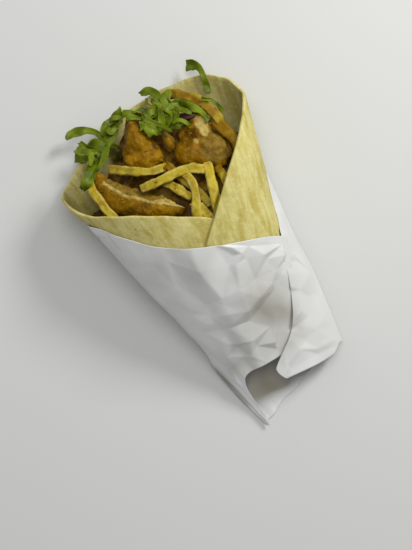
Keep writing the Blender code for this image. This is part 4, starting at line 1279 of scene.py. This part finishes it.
def small_lump_shape():
    """Small lump between the two large pieces."""
    shape = bar_shape(*CHICKEN_BARS["lump"], 60, 50, 2.2)
    roughen(shape, *CHICKEN_SWELLS["lump"])
    mark(shape, "meat", lambda vertex: 0.3 + 0.9 * noise.noise(vertex.co / 5))
    mark(shape, "cream", lambda vertex: 1.4 * noise.noise(vertex.co / 6 + Vector((5, 1, 2))) - 0.35)
    mark(shape, "browning", lambda vertex: 0.5 + noise.noise(vertex.co / 5))
    return shape


class WRAP_OT_chicken(bpy.types.Operator):
    """Model the four pieces of fried chicken"""
    bl_idname = "wrap.chicken"
    bl_label = "Fried chicken"

    def execute(self, context):
        material = chicken_material()
        for name, shape, seed in (
                ("chicken_strip_left", left_strip_shape(), 21),
                ("chicken_strip_front", front_strip_shape(), 22),
                ("chicken_strip_right", right_piece_shape(), 23), ("chicken_lump", small_lump_shape(), 24)):
            roughen(shape, *COATING_LUMPS, seed)
            roughen(shape, *COATING_CRAGS, seed + CRAG_SEED_SHIFT, ridged=True)
            settle(shape)
            add_piece("fried_" + name, shape, (material,), (name,))
        return {"FINISHED"}


def core_top(x, reach):
    """Height of the bare heap at one place."""
    bumps = CORE_BUMP * noise.noise(Vector((x / 9, reach / 9, 0)))
    return through(HEAP_HEIGHT, reach) - CORE_DROP - CORE_FALL * x * x + bumps


def core_shape():
    """Heap under the pieces that show, filling the bread's cone up to its own top."""
    shape = bmesh.new()
    bmesh.ops.create_uvsphere(shape, u_segments=CORE_SEGMENTS, v_segments=CORE_RINGS, radius=1)
    for vertex in shape.verts:
        share = (1 - vertex.co.z) / 2
        spread = 0.0 if is_pole(vertex) else rounded_end(share, CORE_FULLNESS)
        reach = CORE_ENDS[0] + (CORE_ENDS[1] - CORE_ENDS[0]) * share
        turn = math.degrees(math.atan2(vertex.co.y, -vertex.co.x))
        width = section(turn, reach).x
        reach -= CORE_END_BEND * width * width * ease_between(CORE_BEND_REACHES, reach)
        skin = section(turn, reach, -(BREAD_THICKNESS + CORE_CLEARANCE))
        floor = centre_height(reach) - through(BASE_DEPTH, reach) + BREAD_THICKNESS
        middle = place(0, reach, (floor + min(core_top(0, reach), centre_height(reach))) / 2)
        inner = 0.0
        outer = 1.0
        if skin.z > core_top(skin.x, reach):
            for _ in range(CORE_SEARCH_STEPS):
                guess = (inner + outer) / 2
                point = middle.lerp(skin, guess)
                if point.z > core_top(point.x, reach):
                    outer = guess
                else:
                    inner = guess
        vertex.co = middle.lerp(skin, outer * spread)
    bmesh.ops.recalc_face_normals(shape, faces=shape.faces)
    return shape


def fry_shape(path, half_width, half_depth, seed, brown):
    """One fry: rounded square bar with uneven sides, browned towards its ends, darker on the faces that turn
    sideways or down as painted shade, and paler at its cut ends and along its upward-facing edges, there as a
    painted highlight.
    """
    shape = bar_shape(path, half_width, half_depth, FRY_SEGMENTS, FRY_RINGS, FRY_FULLNESS, FRY_SQUARENESS)
    along = shape.verts.layers.float["along"]
    around = shape.verts.layers.float["around"]
    for height, size, more in FRY_ROUGHNESS:
        roughen(shape, height, size, seed + more)
    shape.normal_update()

    def browning(vertex):
        near_end = smooth_step((abs(2 * vertex[along] - 1) - 0.7) / 0.25)
        # Faces that turn sideways or down are browned: painted shade.
        side = 1 - max(0.0, vertex.normal.z)
        return brown + 0.5 * side + 0.25 * near_end + 0.6 * noise.noise(vertex.co / 6) - 0.14

    def paleness(vertex):
        # Upward-facing edges are paler as a painted highlight; the cut ends are paler in their own colour.
        corner = abs(math.sin(2 * vertex[around])) ** 6 * max(0.0, vertex.normal.z)
        cut = smooth_step((abs(2 * vertex[along] - 1) - 0.97) / 0.02)
        return (1 - brown) * max(cut, corner * (0.4 + noise.noise(vertex.co / 3)))

    mark(shape, "browning", browning)
    mark(shape, "pale_end", paleness)
    return shape


def join_shapes(shapes):
    """One shape that holds several, with their kept values."""
    whole = shapes[0]
    for shape in shapes[1:]:
        mesh = bpy.data.meshes.new("passing")
        shape.to_mesh(mesh)
        whole.from_mesh(mesh)
        shape.free()
        bpy.data.meshes.remove(mesh)
    return whole


class WRAP_OT_fries(bpy.types.Operator):
    """Model the fries and the mixed filling under them"""
    bl_idname = "wrap.fries"
    bl_label = "Fries"

    def execute(self, context):
        sizes = context.scene.wrap_sizes
        half_width = sizes.fry_width / 2 / MM
        half_depth = sizes.fry_depth / 2 / MM
        core = core_shape()
        roughen(core, *CORE_LUMPS)
        roughen(core, *CORE_CRAGS, ridged=True)
        settle(core)
        add_piece("mixed_filling", core, (filling_material(),), ("fries",))
        shapes = []
        for number, (name, path) in enumerate(FRIES.items()):
            brown = FRY_BROWNING.get(name, 0.0)
            wider = FRY_WIDENING.get(name, 1.0)
            shapes.append(fry_shape(path, half_width * wider, half_depth, number, brown))
            settle(shapes[-1])
        add_piece("potato_fries", join_shapes(shapes), (fry_material(),), ("fries",))
        return {"FINISHED"}


def height_below(supports, x, y):
    """Highest surface of the supports at one place, or nothing."""
    start = Vector(((x + CENTRE_X) * MM, y * MM, RAY_START))
    found = None
    for tree in supports:
        hit = tree.ray_cast(start, DOWN)[0]
        if hit is not None and (found is None or hit.z / MM > found):
            found = hit.z / MM
    return found


def leaf_shape(path, half_width, paleness, curl, supports):
    """Curled ribbon of leaf laid over what is under it."""
    spots = [place(*spot) for spot in path]
    length = sum((b - a).length for a, b in zip(spots, spots[1:]))
    columns = max(LEAF_LEAST_COLUMNS, round(length / LEAF_STEP))
    seed = Vector((spots[0].x * 1.3, spots[0].y * 0.7, spots[-1].x))
    frames = []
    for column in range(columns + 1):
        along = column / columns
        here, ahead = along_path(spots, along)
        across = Vector((-ahead.y, ahead.x, 0)).normalized()
        ease = along * length
        crease = 1.4 * noise.noise(seed + Vector((ease / 12, 0, 9)))
        slope = math.radians(curl) * (0.4 + 2.4 * noise.noise(seed + Vector((ease / 7, 0, 11))))
        lean = LEAF_TWIST * noise.noise(seed + Vector((ease / 9, 0, 4)))
        profile = []
        for row in range(LEAF_ROWS + 1):
            side = 2 * row / LEAF_ROWS - 1
            wide = through(half_width, along) * (1 + 0.14 * noise.noise(seed + Vector((ease / 5, side, 0))))
            flat = wide * side * math.cos(slope)
            raised = wide * slope * (math.hypot(side - crease, 0.16) - 0.16)
            ruffle = smooth_step((abs(side) - 0.35) / 0.65)
            raised += 0.55 * ruffle * noise.noise(seed + Vector((ease / 4, 0.5 * side, 6)))
            profile.append((flat * math.cos(lean) - raised * math.sin(lean),
                            flat * math.sin(lean) + raised * math.cos(lean)))
        under = [LEAF_LOWEST]
        for beside, raised in profile:
            height = height_below(supports, here.x + across.x * beside, here.y + across.y * beside)
            if height is not None:
                under.append(height + LEAF_REST_GAP - raised)
        frames.append([here, ahead, across, profile, max(under)])
    fall = LEAF_STEEPEST * length / columns
    for order in (range(1, columns + 1), range(columns - 1, -1, -1)):
        for index in order:
            before = index - 1 if order.step > 0 else index + 1
            frames[index][4] = max(frames[index][4], frames[before][4] - fall)

    def beside_it(values, i):
        return values[max(0, i - LEAF_SMOOTHING):i + LEAF_SMOOTHING + 1]

    heights = [frame_here[4] for frame_here in frames]
    widest = [max(beside_it(heights, i)) for i in range(columns + 1)]
    level = [sum(beside_it(widest, i)) / len(beside_it(widest, i)) for i in range(columns + 1)]

    def leaf_put(column, share):
        index = round(column)
        here, ahead, across, profile, _ = frames[index]
        beside, raised = profile[round(share * LEAF_ROWS)]
        end = abs(2 * index / columns - 1) ** 6
        skew = 1.6 * beside * noise.noise(seed + Vector((2 * index / columns, 0, 7)))
        ragged = 0.9 * noise.noise(seed + Vector((share * 4, index / columns, 3)))
        point = here + across * beside + ahead * end * (ragged + skew)
        return Vector((point.x, point.y, here.z + level[index] + raised))

    shape = sheet_shape(columns, LEAF_ROWS, leaf_put, (length / 30, 1.0))
    shape.normal_update()
    if sum(face.normal.z for face in shape.faces) < 0:
        bmesh.ops.reverse_faces(shape, faces=shape.faces)
    rims = shape.verts.layers.float.new("paleness")
    for vertex in shape.verts:
        spot = vertex.link_loops[0][shape.loops.layers.uv["sheet"]].uv
        # The leaf's rims are lightened as a painted highlight.
        rim = abs(2 * spot.y - 1) ** 6
        vertex[rims] = clamp(paleness + 0.2 * rim + 1.2 * noise.noise(vertex.co / 8))
    return shape


def heaped_shreds():
    """Short bent shreds heaped at random in the clusters of lettuce."""
    rng = random.Random(SHRED_SEED)
    shreds = []
    for x, reach, spread_x, spread_reach, count in SHRED_HEAPS:
        for _ in range(count):
            angle, out = rng.uniform(0, math.tau), math.sqrt(rng.random())
            middle = (x + spread_x * out * math.cos(angle), reach + spread_reach * out * math.sin(angle))
            course, half_length = rng.uniform(0, math.tau), rng.uniform(*SHRED_LENGTH) / 2
            bent = rng.uniform(-SHRED_BEND, SHRED_BEND)
            path = []
            for step, lift in SHRED_LIFTS:
                heading = course + bent * step
                path.append((middle[0] + step * half_length * math.cos(heading),
                             middle[1] + step * half_length * math.sin(heading), lift))
            shreds.append((tuple(path), rng.uniform(*SHRED_HALF_WIDTH), rng.uniform(*SHRED_PALENESS)))
    return tuple(shreds)


def ring_shape(centre, radius, width, supports):
    """Strip of leaf bent into a standing ring."""
    ground = max(
        height_below(supports, centre.x + radius * math.cos(a), centre.y + radius * math.sin(a)) or 0.0
        for a in range(7))

    def ring_put(column, share):
        angle = math.radians(RING_START + RING_SWEEP * column / RING_COLUMNS)
        flare = radius * (1 + 0.25 * share + 0.08 * math.sin(3 * angle))
        height = ground + LEAF_REST_GAP + width * share + 0.5 * math.sin(2 * angle)
        return Vector((centre.x + flare * math.cos(angle), centre.y + 1.1 * flare * math.sin(angle), height))

    shape = sheet_shape(RING_COLUMNS, RING_ROWS, ring_put)
    mark(shape, "paleness", lambda vertex: 0.15 + 0.6 * noise.noise(vertex.co / 5))
    return shape


def tree_of(piece):
    """Search tree of a finished piece."""
    return BVHTree.FromObject(piece, bpy.context.evaluated_depsgraph_get())


def trees_of(scene, starts):
    """Search trees of the finished pieces whose names have one of several starts."""
    return [tree_of(piece) for piece in scene.objects
            if piece.type == "MESH" and piece.name.startswith(starts)]


class WRAP_OT_garnish(bpy.types.Operator):
    """Model the lettuce, the pickle and the onion, each laid over those before it"""
    bl_idname = "wrap.garnish"
    bl_label = "Lettuce and garnish"

    def execute(self, context):
        colours = context.scene.wrap_colours
        leaf = leaf_material()
        others = {
            "pickle_piece": wet_material("pickle", colours.pickle, (0.05, 0.045, 0.006), 0.35),
            "onion_piece": wet_material("onion", colours.onion, (0.045, 0.02, 0.014), 0.5),
        }
        trees = trees_of(context.scene, ("flatbread", "fried_", "potato", "mixed"))
        for name, (path, half_width, thickness, paleness, curl) in LEAVES.items():
            shape = leaf_shape(path, half_width, paleness, curl, trees)
            if name == "lettuce_curl":
                shape = join_shapes([shape, ring_shape(place(-14, 287.5, 0), 3.6, 4.0, trees)])
            piece = add_piece("fresh_" + name, shape, (others.get(name, leaf),), (name,),
                              (thickness_modifier(thickness * MM, 1),))
            trees.append(tree_of(piece))
        shreds = []
        for path, half_width, paleness in SHREDS + heaped_shreds():
            shreds.append(leaf_shape(path, ((0, half_width), (0.5, half_width * 1.2), (1, half_width * 0.7)),
                                     paleness, 25, trees))
        add_piece("fresh_shreds", join_shapes(shreds), (leaf,), (),
                  (thickness_modifier(SHRED_THICKNESS, 1),))
        return {"FINISHED"}


class WRAP_OT_crumbs(bpy.types.Operator):
    """Scatter crumbs of coating over the filling"""
    bl_idname = "wrap.crumbs"
    bl_label = "Crumbs"

    def execute(self, context):
        rng = random.Random(CRUMB_SEED)
        trees = trees_of(context.scene, ("fried_", "potato", "mixed"))
        shapes = []
        while len(shapes) < context.scene.wrap_sizes.crumb_count:
            x, reach = rng.uniform(*CRUMB_ACROSS), rng.uniform(*CRUMB_REACHES)
            height = height_below(trees, x, POINT_Y - reach)
            if height is None or height < CRUMB_LOWEST:
                continue
            size = rng.uniform(*CRUMB_RADIUS)
            shape = bmesh.new()
            bmesh.ops.create_icosphere(shape, subdivisions=2, radius=size)
            bmesh.ops.scale(shape, vec=(1, rng.uniform(0.6, 1.0), rng.uniform(0.5, 0.9)), verts=shape.verts)
            bmesh.ops.rotate(shape, cent=(0, 0, 0), matrix=Matrix.Rotation(rng.uniform(0, math.tau), 3, "Z"),
                             verts=shape.verts)
            bmesh.ops.translate(shape, vec=place(x, reach, height + 0.2 * size), verts=shape.verts)
            roughen(shape, 0.7 * size, size, rng.randint(0, 99))
            shade = rng.uniform(-0.1, 0.15)
            mark(shape, "browning", lambda vertex: shade)
            mark(shape, "meat", lambda vertex: 0.0)
            mark(shape, "cream", lambda vertex: 0.0)
            shapes.append(shape)
        material = bpy.data.materials["fried_chicken"]
        add_piece("coating_crumbs", join_shapes(shapes), (material,), ())
        return {"FINISHED"}


def add_light(name, location, target, size, power, colour):
    """Soft area light that faces a target."""
    light = bpy.data.lights.new(name, "AREA")
    light.shape = "DISK"
    light.size = size
    light.energy = power
    light.color = colour
    lamp = bpy.data.objects.new(name, light)
    lamp.location = location
    lamp.rotation_euler = (Vector(target) - Vector(location)).to_track_quat("-Z", "Y").to_euler()
    bpy.context.scene.collection.objects.link(lamp)
    return lamp


class WRAP_OT_stage(bpy.types.Operator):
    """Set the floor, the soft lights and the camera"""
    bl_idname = "wrap.stage"
    bl_label = "Stage"

    def execute(self, context):
        scene = context.scene
        shape = bmesh.new()
        bmesh.ops.create_grid(shape, x_segments=1, y_segments=1, size=FLOOR_SIZE)
        mesh = bpy.data.meshes.new("floor")
        shape.to_mesh(mesh)
        shape.free()
        mesh.materials.append(new_material("floor", 0.7, Base_Color=(*scene.wrap_colours.floor, 1))[0])
        floor = bpy.data.objects.new("floor", mesh)
        scene.collection.objects.link(floor)
        for name, (location, size, power, colour) in LAMPS.items():
            add_light(name, location, LAMP_TARGET, size, power, colour)
        world = bpy.data.worlds.new("studio")
        world.use_nodes = True
        world.node_tree.nodes["Background"].inputs["Color"].default_value = (1.0, 1.0, 1.0, 1)
        world.node_tree.nodes["Background"].inputs["Strength"].default_value = WORLD_STRENGTH
        scene.world = world
        camera = bpy.data.cameras.new("camera")
        camera.sensor_fit = "VERTICAL"
        camera.sensor_height = SENSOR
        camera.lens = SENSOR * CAMERA_PLACE[2] / VIEW_HEIGHT
        viewer = bpy.data.objects.new("camera", camera)
        viewer.location = CAMERA_PLACE
        viewer.rotation_euler = (0, 0, math.radians(CAMERA_TURN))
        scene.collection.objects.link(viewer)
        scene.camera = viewer
        scene.view_settings.view_transform = "Standard"
        return {"FINISHED"}


class WRAP_PT_panel(bpy.types.Panel):
    """List the steps that model the wrap"""
    bl_label = "Chicken wrap"
    bl_space_type = "VIEW_3D"
    bl_region_type = "UI"
    bl_category = "Wrap"

    def draw(self, context):
        layout = self.layout
        for step in STEPS:
            layout.operator(step.bl_idname)
        for settings in (context.scene.wrap_sizes, context.scene.wrap_colours):
            for name in settings.__annotations__:
                layout.prop(settings, name)


STEPS = (WRAP_OT_bread, WRAP_OT_paper, WRAP_OT_chicken, WRAP_OT_fries, WRAP_OT_garnish, WRAP_OT_crumbs,
         WRAP_OT_stage)
CLASSES = (WrapSizes, WrapColours, *STEPS, WRAP_PT_panel)


def register():
    """Register the classes and their settings."""
    for item in CLASSES:
        bpy.utils.register_class(item)
    bpy.types.Scene.wrap_sizes = bpy.props.PointerProperty(type=WrapSizes)
    bpy.types.Scene.wrap_colours = bpy.props.PointerProperty(type=WrapColours)


def unregister():
    """Take the classes and their settings out again."""
    del bpy.types.Scene.wrap_colours
    del bpy.types.Scene.wrap_sizes
    for item in reversed(CLASSES):
        bpy.utils.unregister_class(item)


def main():
    """Build the whole wrap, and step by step."""
    register()
    bpy.ops.wrap.bread()
    bpy.ops.wrap.paper()
    bpy.ops.wrap.chicken()
    bpy.ops.wrap.fries()
    bpy.ops.wrap.garnish()
    bpy.ops.wrap.crumbs()
    bpy.ops.wrap.stage()


if __name__ == "__main__":
    main()
